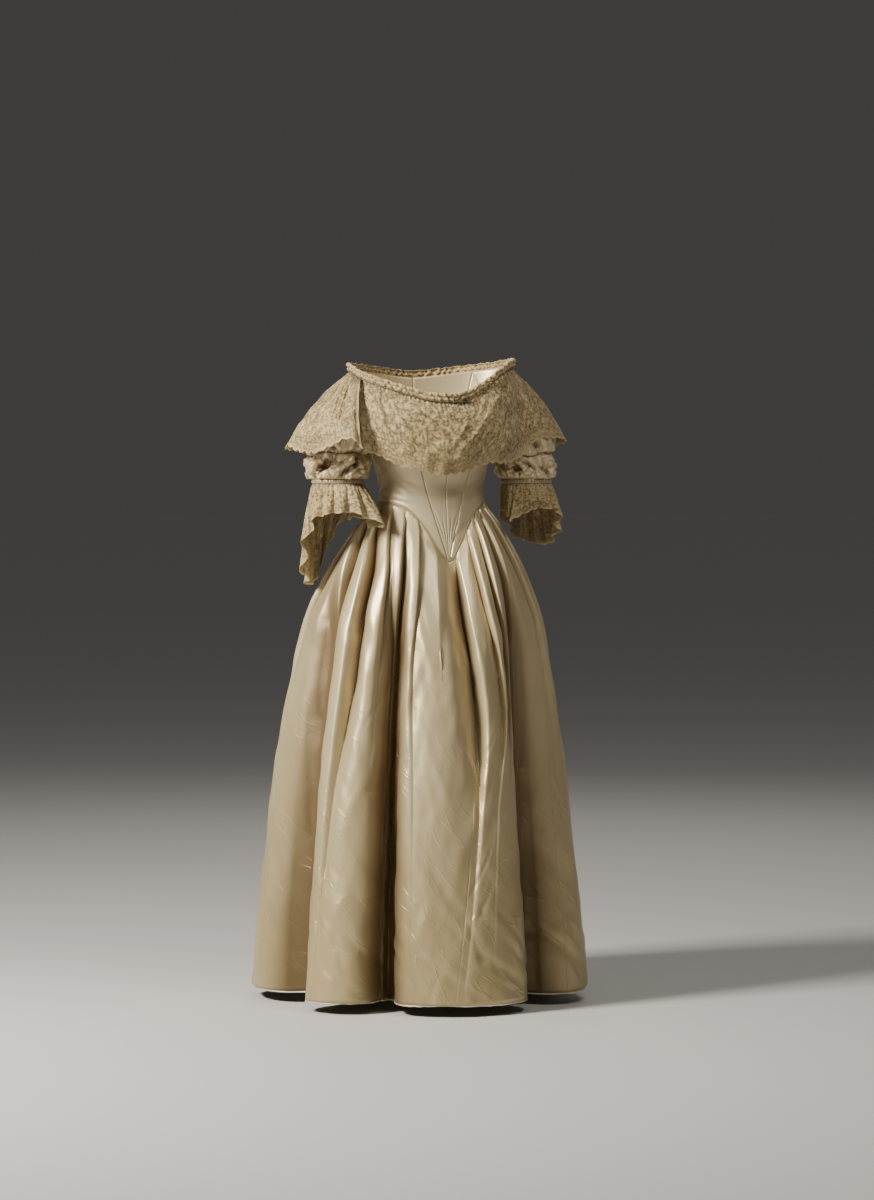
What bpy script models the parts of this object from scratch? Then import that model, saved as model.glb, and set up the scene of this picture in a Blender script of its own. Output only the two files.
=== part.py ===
# Wedding dress of about 1840: pointed satin bodice, pleated skirt, ruched sleeves, lace collar and cuffs.
# Metres, +Z up. It faces -Y, the wearer's left is +X, and the origin is inside it at the waist.
import bmesh
import bpy
import numpy as np

CLOTH = 0.0015  # wall of every satin piece
LACE = 0.0012  # wall of every lace piece
SEAM = 0.0003  # space between two pieces at a seam
LIFT = 0.0006  # extra space where one piece lies on another or a seam turns sharply

# Waist seam: level at the sides and back, falling to a rounded point at centre front.
POINT_DROP = 0.1155
POINT_SPREAD = 25.3
POINT_POWER = 1.4
POINT_ROUND = 2.2
PIPING_RADIUS = 0.0015

# Bodice sections: height, half width, depth to the front, depth to the back.
BODICE = np.array(
    [
        (-0.115, 0.1250, 0.1010, 0.1150),
        (-0.060, 0.1120, 0.0920, 0.1000),
        (0.000, 0.1035, 0.0850, 0.0850),
        (0.020, 0.1020, 0.0830, 0.0830),
        (0.060, 0.1080, 0.0940, 0.0900),
        (0.100, 0.1190, 0.1110, 0.0970),
        (0.130, 0.1280, 0.1200, 0.1000),
        (0.160, 0.1360, 0.1190, 0.1020),
        (0.190, 0.1450, 0.1140, 0.1020),
        (0.260, 0.1590, 0.1040, 0.1000),
    ]
)

# Neckline: angle round from centre front, height. It sits a little higher on the wearer's left.
NECKLINE = np.array(
    [
        (-180, 0.235),
        (-120, 0.248),
        (-90, 0.246),
        (-75, 0.234),
        (-54, 0.219),
        (-40, 0.208),
        (-26, 0.197),
        (-13, 0.190),
        (0, 0.189),
        (12, 0.195),
        (25, 0.212),
        (50, 0.246),
        (60, 0.254),
        (90, 0.258),
        (120, 0.252),
        (180, 0.235),
    ]
)

# Bodice seams: height, then the angle of the dart seam and of the curved back seam.
SEAMS = np.array(
    [
        (-0.112, 1.2, 164.0),
        (-0.096, 2.6, 163.0),
        (-0.075, 5.4, 162.0),
        (-0.036, 11.8, 160.0),
        (-0.006, 17.0, 158.0),
        (0.026, 22.5, 155.0),
        (0.061, 28.0, 150.0),
        (0.110, 33.0, 142.0),
        (0.260, 36.0, 134.0),
    ]
)
SIDE_SEAM = 90.0
BODICE_MARKS = (-0.088, -0.060, -0.022, 0.02, 0.06, 0.10, 0.135, 0.17)  # heights of its rows

# Armhole: half its angle at the body, its lowest height, the height of its ends, the rise of its top.
ARMHOLE = {"half": 32.0, "under": 0.113, "ends": 0.200, "rise": 0.026}
STRAP_START = 45.0  # angle where the shoulder strap begins at the neckline

# Skirt outline: hem height, half width and depths at the hem, and how far it hangs to the wearer's right.
HEM = {"height": -0.920, "half": 0.322, "front": 0.318, "back": 0.335, "aside": -0.020}
# Share of the growth in width against the share of the drop, as the pleats spring from the waist.
GROWTH = np.array(
    [
        (0.0, 0.0),
        (0.010, 0.030),
        (0.041, 0.134),
        (0.083, 0.250),
        (0.124, 0.356),
        (0.165, 0.442),
        (0.207, 0.521),
        (0.246, 0.580),
        (0.365, 0.684),
        (0.487, 0.772),
        (0.609, 0.840),
        (0.728, 0.890),
        (0.851, 0.955),
        (1.0, 1.0),
    ]
)
# How domed the skirt is by angle from centre front: 0 is a straight cone, 1 the growth above.
DOME = np.array([(0, 0.60), (35, 0.72), (70, 0.93), (110, 1.12), (145, 1.12), (180, 1.08)])
# The hem rises where a flute turns under at the wearer's left back: angle, spread, height.
HEM_RISE = {"angle": 80.0, "spread": 14.0, "height": 0.090}

# Depth of a pleat or flute as a share of its own, at these shares of the drop.
DROPS = np.array([0.0, 0.02, 0.06, 0.15, 0.35, 0.60, 1.0])
# Pleat valleys round the waist: angle at the waist, at 0.15, 0.35 and 0.60 of the drop and at the hem,
# then depth at DROPS in millimetres. The last is 0 for a pleat that fades out; for one that runs on to
# part two flutes at the hem it is how widely the gap opens on the side away from the front.
PLEATS = np.array(
    [
        (-168, -168, -169, -170, -170, 0.8, 5, 16, 30, 44, 58, 72, 1.2),
        (-153, -152, -153, -155, -156, 0.8, 6, 11, 12, 6, 0, 0, 0),
        (-139, -138, -139, -141, -142, 0.8, 5, 10, 9, 3, 0, 0, 0),
        (-124, -123, -125, -127, -128, 0.8, 5, 15, 30, 45, 58, 74, 1.2),
        (-110, -106, -110, -106, -104, 0.8, 6, 11, 14, 8, 0, 0, 0),
        (-95, -83, -77, -75, -71, 0.8, 5, 18, 38, 52, 66, 84, 1.9),
        (-78.5, -63, -59, -59, -58, 0.8, 6, 13, 32, 28, 8, 0, 0),
        (-61, -50, -48, -48, -48, 0.8, 6, 11, 9, 0, 0, 0, 0),
        (-44, -40, -41, -39, -37, 0.8, 6, 14, 28, 44, 58, 80, 1.1),
        (-28.5, -26, -25, -23, -22, 0.8, 5, 8, 5, 0, 0, 0, 0),
        (-10.5, -13, -11, -14, -17, 0.0, 0, 0, 0, 0, 0, 0, 0),
        (7.5, 0, 2.5, -5, -12, 0.8, 5, 10, 15, 9, 3, 6, 0),
        (22.5, 14, 18.5, 6, 2, 0.8, 6, 11, 14, 9, 0, 0, 0),
        (34.5, 24, 25, 12, 10, 0.8, 6, 10, 9, 4, 0, 0, 0),
        (44.5, 39, 37, 33, 33, 0.8, 6, 13, 21, 32, 54, 80, 1.2),
        (59, 54, 52, 49, 50, 0.8, 6, 9, 8, 3, 0, 0, 0),
        (74, 71, 71, 75, 79, 0.8, 5, 14, 26, 40, 52, 66, 1.2),
        (89, 87, 87, 91, 94, 0.8, 6, 11, 12, 6, 0, 0, 0),
        (103, 101, 101, 104, 106, 0.8, 6, 10, 10, 3, 0, 0, 0),
        (118, 117, 117, 118, 119, 0.8, 5, 15, 29, 44, 56, 72, 1.2),
        (133, 132, 132, 133, 133, 0.8, 6, 11, 13, 7, 0, 0, 0),
        (148, 148, 147, 148, 148, 0.8, 6, 10, 10, 4, 0, 0, 0),
        (163, 163, 162, 160, 159, 0.8, 5, 15, 29, 43, 56, 70, 1.2),
        (178, 178, 177, 176, 175, 0.8, 6, 11, 11, 5, 0, 0, 0),
    ]
)
FLUTE_ROUND = 2.4  # 2 makes a flute's section an ellipse, more makes it squarer
PLEAT_EDGE = 0.30  # where across a pleat its folded edge stands, from the valley it covers
PLEAT_COLUMNS = (0.0, 0.13, 0.31, 0.64)
POINT_COLUMNS = (-2.4, -0.6)  # columns added where the waist seam turns at the point
SKIRT_ROWS = (0.0, 0.014, 0.038, 0.078, 0.135, 0.22, 0.33, 0.47, 0.64, 0.82, 1.0)
SKIRT_SEAMS = (-146.0, -108.0, 4.0, 56.0, 100.0, 156.0)  # waist angles of the cloth at the panel seams
BINDING = 0.0040  # height of the white binding that shows below the hem

# Lace collar from centre back round the wearer's left arm and over the chest: angle where it hangs from
# the neckline, its lower edge, its bulge over what it covers, and the height of its waves.
COLLAR_LEFT = np.array(
    [
        (-77, -0.161, -0.088, 0.094, 0.018, 0.0),
        (-62, -0.139, -0.105, 0.085, 0.026, 0.0006),
        (-45, -0.103, -0.122, 0.066, 0.034, 0.0010),
        (-32, -0.075, -0.131, 0.060, 0.038, 0.0010),
        (-20, -0.047, -0.135, 0.053, 0.038, 0.0010),
        (-8, -0.022, -0.137, 0.050, 0.038, 0.0010),
        (4, 0.011, -0.136, 0.054, 0.038, 0.0010),
        (18, 0.048, -0.131, 0.066, 0.037, 0.0010),
        (32, 0.083, -0.122, 0.0735, 0.034, 0.0010),
        (46, 0.108, -0.111, 0.072, 0.028, 0.0006),
        (56, 0.128, -0.099, 0.076, 0.018, 0.0),
        (64, 0.147, -0.084, 0.082, 0.008, 0.0),
        (71, 0.167, -0.070, 0.092, 0.004, 0.0),
        (77, 0.187, -0.062, 0.114, 0.006, 0.0),
        (82, 0.211, -0.055, 0.120, 0.012, 0.0020),
        (86, 0.240, -0.041, 0.120, 0.017, 0.0020),
        (90, 0.270, -0.012, 0.117, 0.020, 0.0015),
        (95, 0.279, 0.012, 0.112, 0.020, 0.0015),
        (102, 0.268, 0.040, 0.104, 0.020, 0.0035),
        (113, 0.240, 0.074, 0.096, 0.018, 0.0035),
        (130, 0.184, 0.106, 0.088, 0.016, 0.0035),
        (152, 0.108, 0.124, 0.082, 0.014, 0.0030),
        (179.85, 0.0003, 0.132, 0.078, 0.014, 0.0030),
    ]
)
# The rest of the collar, from centre back round the wearer's right arm to a fold over the chest part.
COLLAR_RIGHT = np.array(
    [
        (180.15, -0.0003, 0.132, 0.078, 0.014, 0.0030),
        (208, -0.108, 0.124, 0.082, 0.014, 0.0030),
        (230, -0.186, 0.106, 0.088, 0.016, 0.0035),
        (246, -0.246, 0.072, 0.094, 0.018, 0.0035),
        (256, -0.280, 0.030, 0.101, 0.020, 0.0030),
        (262, -0.289, -0.008, 0.106, 0.020, 0.0015),
        (267, -0.280, -0.045, 0.094, 0.020, 0.0015),
        (270, -0.258, -0.075, 0.091, 0.020, 0.0020),
        (273, -0.239, -0.095, 0.102, 0.020, 0.0015),
        (276, -0.226, -0.106, 0.110, 0.020, 0.0),
        (278.5, -0.214, -0.113, 0.116, 0.020, 0.0),
        (281.5, -0.202, -0.119, 0.117, 0.022, 0.0),
        (284, -0.191, -0.124, 0.112, 0.024, 0.0),
        (286, -0.184, -0.124, 0.097, 0.024, 0.0),
    ]
)
COLLAR_STAND = 0.0019  # the collar's upper edge stands this far out of the bodice
COLLAR_WAVES = 28  # soft waves of its lower edge, all round

# Neck frill and the cord drawn through its foot, which lies below the neck edge.
FRILL = {"waves": 56, "columns": 3, "height": 0.0165, "lean": 0.002, "wave": 0.0022}
CORD_RADIUS = 0.0013
CORD_BELOW = 0.0022

# Sleeves: x of the arm, and the radius of both puffs at their fullest. One row for each side.
SLEEVES = {"left": (1, 0.194, 0.0575), "right": (-1, 0.187, 0.0630)}
# Sections of the upper puff: share of its length, how far it has left the armhole, x from the arm,
# height, radius as a share of the fullest.
UPPER_PUFF = np.array(
    [
        (0.00, 0.00, -0.030, 0.182, 0.60),
        (0.22, 0.45, -0.024, 0.178, 0.70),
        (0.45, 0.90, -0.012, 0.155, 0.80),
        (0.70, 1.00, -0.003, 0.122, 0.97),
        (0.88, 1.00, 0.000, 0.099, 0.99),
        (1.00, 1.00, 0.000, 0.0887, 0.88),
    ]
)
LOWER_PUFF = {"top": 0.0884, "bottom": 0.0418}
BUNCHES = {"count": 11, "depth": 0.0090, "columns": 3}
BAND = {"top": 0.0415, "bottom": 0.0330, "radius": 0.0478}
CUFF_WAVES = {"count": 14, "height": 0.0060, "columns": 3}
# Lower edge of each lace cuff: angle round the arm from outside to front, x, y, height.
CUFFS = {
    "left": np.array(
        [
            (0, 0.262, 0.005, -0.060),
            (45, 0.242, -0.045, -0.018),
            (90, 0.195, -0.068, -0.014),
            (135, 0.132, -0.076, -0.038),
            (180, 0.152, -0.012, -0.012),
            (225, 0.162, 0.040, -0.030),
            (270, 0.206, 0.062, -0.075),
            (315, 0.250, 0.038, -0.086),
            (360, 0.262, 0.005, -0.060),
        ]
    ),
    "right": np.array(
        [
            (0, 0.252, 0.000, -0.075),
            (30, 0.240, -0.035, -0.030),
            (60, 0.222, -0.068, -0.022),
            (90, 0.192, -0.086, -0.020),
            (120, 0.155, -0.098, -0.032),
            (140, 0.126, -0.098, -0.047),
            (165, 0.136, -0.060, -0.048),
            (190, 0.154, -0.015, -0.030),
            (215, 0.168, 0.032, -0.040),
            (240, 0.187, 0.066, -0.090),
            (270, 0.202, 0.082, -0.148),
            (295, 0.218, 0.070, -0.159),
            (320, 0.235, 0.048, -0.150),
            (342, 0.247, 0.025, -0.115),
            (360, 0.252, 0.000, -0.075),
        ]
    ),
}

SATIN_COLOUR = (0.80, 0.71, 0.53)
LACE_COLOUR = (0.62, 0.49, 0.29)
BINDING_COLOUR = (0.86, 0.82, 0.72)


def through(stations, values, at):
    # A smooth curve through the values that doesn't overshoot them.
    stations = np.asarray(stations, float)
    values = np.asarray(values, float)
    at = np.asarray(at, float)
    step = np.diff(stations)
    slope = np.diff(values) / step
    tangent = np.empty(len(values))
    tangent[0] = slope[0]
    tangent[-1] = slope[-1]
    product = slope[:-1] * slope[1:]
    total = np.where(product > 0, slope[:-1] + slope[1:], 1.0)
    tangent[1:-1] = np.where(product > 0, 2 * product / total, 0.0)
    i = np.clip(np.searchsorted(stations, at, side="right") - 1, 0, len(step) - 1)
    t = np.clip((at - stations[i]) / step[i], 0, 1)
    start = (1 + 2 * t) * (1 - t) ** 2 * values[i] + t * (1 - t) ** 2 * step[i] * tangent[i]
    end = t**2 * (3 - 2 * t) * values[i + 1] - t**2 * (1 - t) * step[i] * tangent[i + 1]
    return start + end


def around(angle):
    return (np.asarray(angle, float) + 180) % 360 - 180


def waist_height(angle):
    off = np.sqrt(around(angle) ** 2 + POINT_ROUND**2)
    return -POINT_DROP * np.exp(-((off / POINT_SPREAD) ** POINT_POWER))


def neck_height(angle):
    return through(NECKLINE[:, 0], NECKLINE[:, 1], around(angle))


def body(angle, height, out=0.0):
    # The figure inside the bodice, at an angle from centre front and a height, moved out.
    half = through(BODICE[:, 0], BODICE[:, 1], height) + out
    front = through(BODICE[:, 0], BODICE[:, 2], height) + out
    back = through(BODICE[:, 0], BODICE[:, 3], height) + out
    turn = np.radians(angle)
    depth = np.where(np.cos(turn) > 0, front, back)
    return np.stack([half * np.sin(turn), -depth * np.cos(turn), height + 0 * turn], -1)


def waist_space(angle):
    # Height above or below the seam that keeps a piece clear of the piping where the seam is steep.
    step = 0.5
    rise = waist_height(angle + step) - waist_height(angle - step)
    run = 0.1 * np.radians(2 * step)
    return (PIPING_RADIUS + SEAM + LIFT) * np.sqrt(1 + (rise / run) ** 2)


def armhole_height(angle):
    share = np.clip((90 - np.abs(angle)) / ARMHOLE["half"], -1, 1)
    return ARMHOLE["ends"] - (ARMHOLE["ends"] - ARMHOLE["under"]) * np.sqrt(1 - share**2)


def bodice_top(angle):
    # Top edge by angle: the neckline, the end of the strap, then the armhole.
    off = np.abs(around(angle))
    off = np.where(off > 90, 180 - off, off)
    side = np.where(around(angle) < 0, -1, 1)
    start = np.where(np.abs(around(angle)) > 90, 180 - STRAP_START, STRAP_START) * side
    end = 90 - ARMHOLE["half"]
    slope = np.clip((off - STRAP_START) / (end - STRAP_START), 0, 1)
    strap = neck_height(start) * (1 - slope) + ARMHOLE["ends"] * slope - 2 * SEAM
    outer = np.where(off < end, strap, armhole_height(off))
    return np.where(off < STRAP_START, neck_height(angle), outer)


def bodice_panel(name, side, inner, outer, columns, edge, marks, crowd=1.0):
    # A panel between two seams, given as functions of height that return angles from centre front.
    # Its rows cross the first or last column, the edge, at the marks. Crowd above 1 gathers the columns
    # towards the front.
    across = np.linspace(0, 1, columns) ** crowd
    gap = np.degrees(0.5 * SEAM / 0.09)

    def angle_at(height):
        low = inner(height) + gap
        high = outer(height) - gap
        return side * (low + (high - low) * across)

    below = np.full(columns, -0.13)
    bottom = np.full(columns, 0.08)
    for _ in range(40):
        middle = (below + bottom) / 2
        angle = angle_at(middle)
        under = middle < waist_height(angle) + waist_space(angle)
        below = np.where(under, middle, below)
        bottom = np.where(under, bottom, middle)
    top = bodice_top(angle_at(np.full(columns, 0.2)))
    for _ in range(12):
        top = bodice_top(angle_at(top))
    share = (np.array(marks) - bottom[edge]) / (top[edge] - bottom[edge])
    share = np.concatenate([[0.0], share, [1.0]])
    heights = bottom[:, None] + (top - bottom)[:, None] * share[None, :]
    angles = np.stack([angle_at(heights[:, row]) for row in range(len(share))], 1)
    return sheet(name, body(angles, heights), CLOTH, satin)


def pleat_paths(waist, drop):
    # Angle round the dress of each column of cloth, named by its angle at the waist, at each drop.
    table = np.concatenate([PLEATS[:, :5] - 360, PLEATS[:, :5], PLEATS[:, :5] + 360])
    stations = (0.0, 0.15, 0.35, 0.60, 1.0)
    rows = []
    for share in drop:
        valleys = [through(stations, row, share) for row in table]
        rows.append(through(table[:, 0], valleys, waist))
    return np.stack(rows, 1)


def pleat_drop(waist, drop):
    # How far the small pleats fall behind the crests: steep on the side away from centre front.
    table = np.concatenate([PLEATS - 360 * np.eye(13)[0], PLEATS, PLEATS + 360 * np.eye(13)[0]])
    depth = np.stack([through(DROPS, row[5:12], drop) for row in table]) / 1000
    depth = depth * np.where(table[:, 12] > 0, 0.35, 1.0)[:, None]
    place = np.clip(np.searchsorted(table[:, 0], waist, side="right") - 1, 0, len(table) - 2)
    share = (waist - table[place, 0]) / (table[place + 1, 0] - table[place, 0])
    forward = np.sin(np.radians(table[place + 1, 0] - 3)) > 0
    near = np.where(forward, PLEAT_EDGE, 1 - PLEAT_EDGE)
    after = np.clip(1 - share / near, 0, 1) ** 1.7
    before = np.clip(1 - (1 - share) / (1 - near), 0, 1) ** 1.7
    return depth[place] * after[:, None] + depth[place + 1] * before[:, None]


def flute_drop(waist, angle, drop):
    # How far the skirt falls behind the crests between its large flutes.
    main = PLEATS[PLEATS[:, 12] > 0]
    table = np.concatenate([main - 360 * np.eye(13)[0], main, main + 360 * np.eye(13)[0]])
    depth = np.stack([through(DROPS, row[5:12], drop) for row in table]) / 1000
    valley = pleat_paths(table[:, 0], drop)
    place = np.clip(np.searchsorted(table[:, 0], waist, side="right") - 1, 0, len(table) - 2)
    share = np.clip((angle - valley[place]) / (valley[place + 1] - valley[place]), 0, 1)
    deep = depth[place] * (1 - share) + depth[place + 1] * share
    away = np.sin(np.radians(table[:, 0])) > 0
    share = share ** np.where(away, table[:, 12], 1.0)[place][:, None]
    share = 1 - (1 - share) ** np.where(away, 1.0, table[:, 12])[place + 1][:, None]
    edge = np.abs(2 * share - 1)
    return deep * (1 - (1 - edge**FLUTE_ROUND) ** (1 / FLUTE_ROUND))


def skirt(waist, drop):
    # The skirt by column of cloth and share of the drop from the waist seam to the hem.
    waist = np.asarray(waist, float)
    drop = np.asarray(drop, float)
    angle = pleat_paths(waist, drop)
    turn = np.radians(angle)
    top = (waist_height(waist) - waist_space(waist))[:, None]
    half = through(BODICE[:, 0], BODICE[:, 1], top)
    front = through(BODICE[:, 0], BODICE[:, 2], top)
    back = through(BODICE[:, 0], BODICE[:, 3], top)
    dome = through(DOME[:, 0], DOME[:, 1], np.abs(around(angle)))
    grown = dome * through(GROWTH[:, 0], GROWTH[:, 1], drop)[None, :] + (1 - dome) * drop[None, :]
    behind = np.cos(turn) < 0
    start = np.where(behind, back, front)
    end = np.where(behind, HEM["back"], HEM["front"])
    fall = pleat_drop(waist, drop) + flute_drop(waist, angle, drop)
    wide = half + (HEM["half"] - half) * grown - fall
    deep = start + (end - start) * grown - fall
    rise = HEM_RISE["height"] * np.exp(-(((around(angle) - HEM_RISE["angle"]) / HEM_RISE["spread"]) ** 2))
    height = top + (HEM["height"] - top) * drop + rise * drop**8
    x = wide * np.sin(turn) + HEM["aside"] * drop
    return np.stack([x, -deep * np.cos(turn), height + 0 * x], -1)


def skirt_columns():
    # Columns of cloth round the waist, gathered at each valley and at each folded edge.
    starts = PLEATS[:, 0]
    widths = np.diff(np.append(starts, starts[0] + 360))
    columns = []
    for start, width in zip(starts, widths):
        shares = np.array(PLEAT_COLUMNS)
        if np.sin(np.radians(start + width - 3)) < 0:
            shares = np.append(0.0, 1 - shares[:0:-1])
        columns.extend(start + width * shares)
    return np.sort(np.append(columns, POINT_COLUMNS))


def collar_part(name, table, columns, rows, lift):
    # Lace hung from the neckline to its lower edge, bulging over what it covers.
    place = np.linspace(0, len(table) - 1, columns)
    index = np.arange(len(table))
    hung, x, y, z, bulge, high = [through(index, table[:, n], place) for n in range(6)]
    start = body(hung, neck_height(hung) - 0.004, COLLAR_STAND + lift)
    end = np.stack([x, y, z], -1)
    out = np.stack([x, y, 0 * x], -1)
    out = out / np.linalg.norm(out, axis=1, keepdims=True)
    wave = high * np.sin(COLLAR_WAVES * np.unwrap(np.arctan2(x, -y)))
    middle = (start + end) / 2 + out * bulge[:, None]
    middle[:, 2] += 0.35 * bulge
    share = np.linspace(0, 1, rows)[None, :, None]
    points = (1 - share) ** 2 * start[:, None] + 2 * share * (1 - share) * middle[:, None]
    points = points + share**2 * end[:, None]
    wave = wave[:, None, None] * share**2
    return sheet(name, points + wave * out[:, None], LACE, lace)


def armhole(turn, out):
    # The armhole as a loop by angle round the arm: 0 outside, 90 front, 180 under, 270 back.
    under = (turn >= 90) & (turn <= 270)
    top_turn = np.where(turn > 180, turn - 360, turn)
    angle = np.where(under, 90 + (turn - 180) / 90 * ARMHOLE["half"], 90 - top_turn / 90 * ARMHOLE["half"])
    strap = ARMHOLE["ends"] + ARMHOLE["rise"] * np.cos(np.radians(top_turn))
    height = np.where(under, armhole_height(90 - np.abs(90 - angle)), strap)
    return body(angle, height, out)


def bunching(turn, share, seed):
    # Irregular bunches of a ruched puff: 0 in the gathers, 1 on the fullest of a bunch.
    phase = seed + 0.8 * np.sin(2 * turn + seed) + 0.5 * np.sin(3 * share * np.pi + 2 * turn)
    wave = 0.5 + 0.5 * np.cos(BUNCHES["count"] * turn + phase)
    uneven = 0.75 + 0.25 * np.sin(5 * turn + 2.3 * seed)
    return np.sin(np.pi * np.clip(share, 0, 1)) ** 0.6 * wave * uneven


def upper_puff(side, arm, radius):
    columns = BUNCHES["count"] * BUNCHES["columns"]
    turn = np.linspace(0, 360, columns + 1)
    share = np.linspace(0, 1, 6)
    left, aside, height, full = [through(UPPER_PUFF[:, 0], UPPER_PUFF[:, n], share) for n in range(1, 5)]
    swell = radius * full[None, :] - BUNCHES["depth"]
    swell = swell + BUNCHES["depth"] * bunching(np.radians(turn)[:, None], share[None, :], 1.0 + side)
    x = arm + aside[None, :] + swell * np.cos(np.radians(turn))[:, None]
    y = -swell * np.sin(np.radians(turn))[:, None]
    z = height[None, :] + 0.05 * (1 - left)[None, :] * np.cos(np.radians(turn))[:, None]
    ring = np.stack([x, y, z], -1)
    loop = armhole(turn, CLOTH + SEAM + LIFT)[:, None]
    points = loop * (1 - left)[None, :, None] + ring * left[None, :, None]
    points[..., 0] *= side
    return points


def lower_puff(side, arm, radius):
    columns = BUNCHES["count"] * BUNCHES["columns"]
    turn = np.radians(np.linspace(0, 360, columns + 1))[:, None]
    share = np.linspace(0, 1, 5)[None, :]
    upper = radius * UPPER_PUFF[-1, 4] - BUNCHES["depth"]
    ends = upper + (BAND["radius"] - upper) * share
    full = np.sin(np.pi * share) ** 0.6
    swell = ends * (1 - full) + (radius - BUNCHES["depth"]) * full
    swell = swell + BUNCHES["depth"] * bunching(turn, share, 3.0 + side)
    z = LOWER_PUFF["top"] + (LOWER_PUFF["bottom"] - LOWER_PUFF["top"]) * share + 0 * turn
    return np.stack([side * (arm + swell * np.cos(turn)), -swell * np.sin(turn), z], -1)


def band(side, arm):
    turn = np.radians(np.linspace(0, 360, 25))[:, None]
    z = np.array([[BAND["top"], BAND["bottom"]]]) + 0 * turn
    radius = BAND["radius"]
    return np.stack([side * (arm + radius * np.cos(turn)) + 0 * z, -radius * np.sin(turn) + 0 * z, z], -1)


def cuff(side, arm, table):
    # Lace gathered onto the band, falling in waves to an edge that is short in front and long behind.
    columns = CUFF_WAVES["count"] * CUFF_WAVES["columns"]
    turn = np.linspace(0, 360, columns + 1)
    share = np.linspace(0, 1, 4)[None, :]
    x, y, z = [through(table[:, 0], table[:, n], turn)[:, None] for n in (1, 2, 3)]
    start_x = arm + BAND["radius"] * np.cos(np.radians(turn))[:, None]
    start_y = -BAND["radius"] * np.sin(np.radians(turn))[:, None]
    start_z = BAND["bottom"] - SEAM - LIFT
    outward = share ** 0.75
    wave = CUFF_WAVES["height"] * share * np.cos(CUFF_WAVES["count"] * np.radians(turn))[:, None]
    px = start_x + (x - start_x) * outward + wave * np.cos(np.radians(turn))[:, None]
    py = start_y + (y - start_y) * outward - wave * np.sin(np.radians(turn))[:, None]
    return np.stack([side * px, py, start_z + (z - start_z) * share], -1)


def material(name, colour, rough):
    made = bpy.data.materials.new(name)
    made.use_nodes = True
    shader = made.node_tree.nodes["Principled BSDF"]
    shader.inputs["Base Color"].default_value = (*colour, 1.0)
    shader.inputs["Roughness"].default_value = rough
    made.diffuse_color = (*colour, 1.0)
    return made


def satin(name):
    return material(name, SATIN_COLOUR, 0.45)


def lace(name):
    return material(name, LACE_COLOUR, 0.85)


def binding(name):
    return material(name, BINDING_COLOUR, 0.6)


def put_in_collection(made, cloth):
    home = bpy.data.collections.new(made.name)
    bpy.context.scene.collection.children.link(home)
    home.objects.link(made)
    made.data.materials.append(cloth(made.name + "_cloth"))
    return made


def sheet(name, points, thickness, cloth, closed=False, centre=(0.0, 0.0)):
    # A wall of cloth through a grid of points. A closed one joins its last column to its first.
    columns, rows = points.shape[:2]
    mesh = bmesh.new()
    bmesh.ops.create_grid(mesh, x_segments=columns - 1, y_segments=rows - 1, size=1.0)
    ordered = sorted(mesh.verts, key=lambda v: (round(v.co.x, 6), round(v.co.y, 6)))
    for vertex, place in zip(ordered, points.reshape(-1, 3)):
        vertex.co = place
    if closed:
        bmesh.ops.remove_doubles(mesh, verts=mesh.verts, dist=0.00001)
    mesh.normal_update()
    facing = 0.0
    for face in mesh.faces:
        middle = face.calc_center_median()
        facing += face.normal.x * (middle.x - centre[0]) + face.normal.y * (middle.y - centre[1])
    if facing < 0:
        bmesh.ops.reverse_faces(mesh, faces=mesh.faces)
    data = bpy.data.meshes.new(name)
    mesh.to_mesh(data)
    mesh.free()
    made = bpy.data.objects.new(name, data)
    wall = made.modifiers.new("wall", "SOLIDIFY")
    wall.thickness = thickness
    wall.offset = -1.0
    wall.use_even_offset = False
    return put_in_collection(made, cloth)


def cord(name, points, radius, cloth):
    # A closed round cord through the points.
    data = bpy.data.curves.new(name, "CURVE")
    data.dimensions = "3D"
    data.twist_mode = "Z_UP"
    data.bevel_depth = radius
    data.bevel_resolution = 0
    line = data.splines.new("POLY")
    line.points.add(len(points) - 1)
    for point, place in zip(line.points, points):
        point.co = (*place, 1.0)
    line.use_cyclic_u = True
    made = bpy.data.objects.new(name, data)
    return put_in_collection(made, cloth)


def build_bodice():
    def centre(height):
        return 0 * height

    def dart(height):
        return through(SEAMS[:, 0], SEAMS[:, 1], height)

    def side_seam(height):
        return SIDE_SEAM + 0 * height

    def back_seam(height):
        return through(SEAMS[:, 0], SEAMS[:, 2], height)

    def centre_back(height):
        return 180.0 + 0 * height

    for word, side in (("left", 1), ("right", -1)):
        bodice_panel("front_centre_" + word, side, centre, dart, 4, -1, BODICE_MARKS)
        bodice_panel("front_side_" + word, side, dart, side_seam, 13, 0, BODICE_MARKS, 1.5)
        bodice_panel("side_back_" + word, side, side_seam, back_seam, 9, -1, BODICE_MARKS[3:])
        bodice_panel("back_" + word, side, back_seam, centre_back, 4, 0, BODICE_MARKS[3:])
        along = np.linspace(0, 1, 13)[:, None]
        across = np.array([[0.0, 0.5, 1.0]])
        at_neck = STRAP_START + (180 - 2 * STRAP_START) * along
        at_arm = 90 + ARMHOLE["half"] * (2 * along - 1)
        arm_height = ARMHOLE["ends"] + ARMHOLE["rise"] * np.sin(np.pi * along)
        height = neck_height(side * at_neck) * (1 - across) + arm_height * across
        points = body(side * (at_neck * (1 - across) + at_arm * across), height)
        sheet("shoulder_strap_" + word, points, CLOTH, satin)


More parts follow.
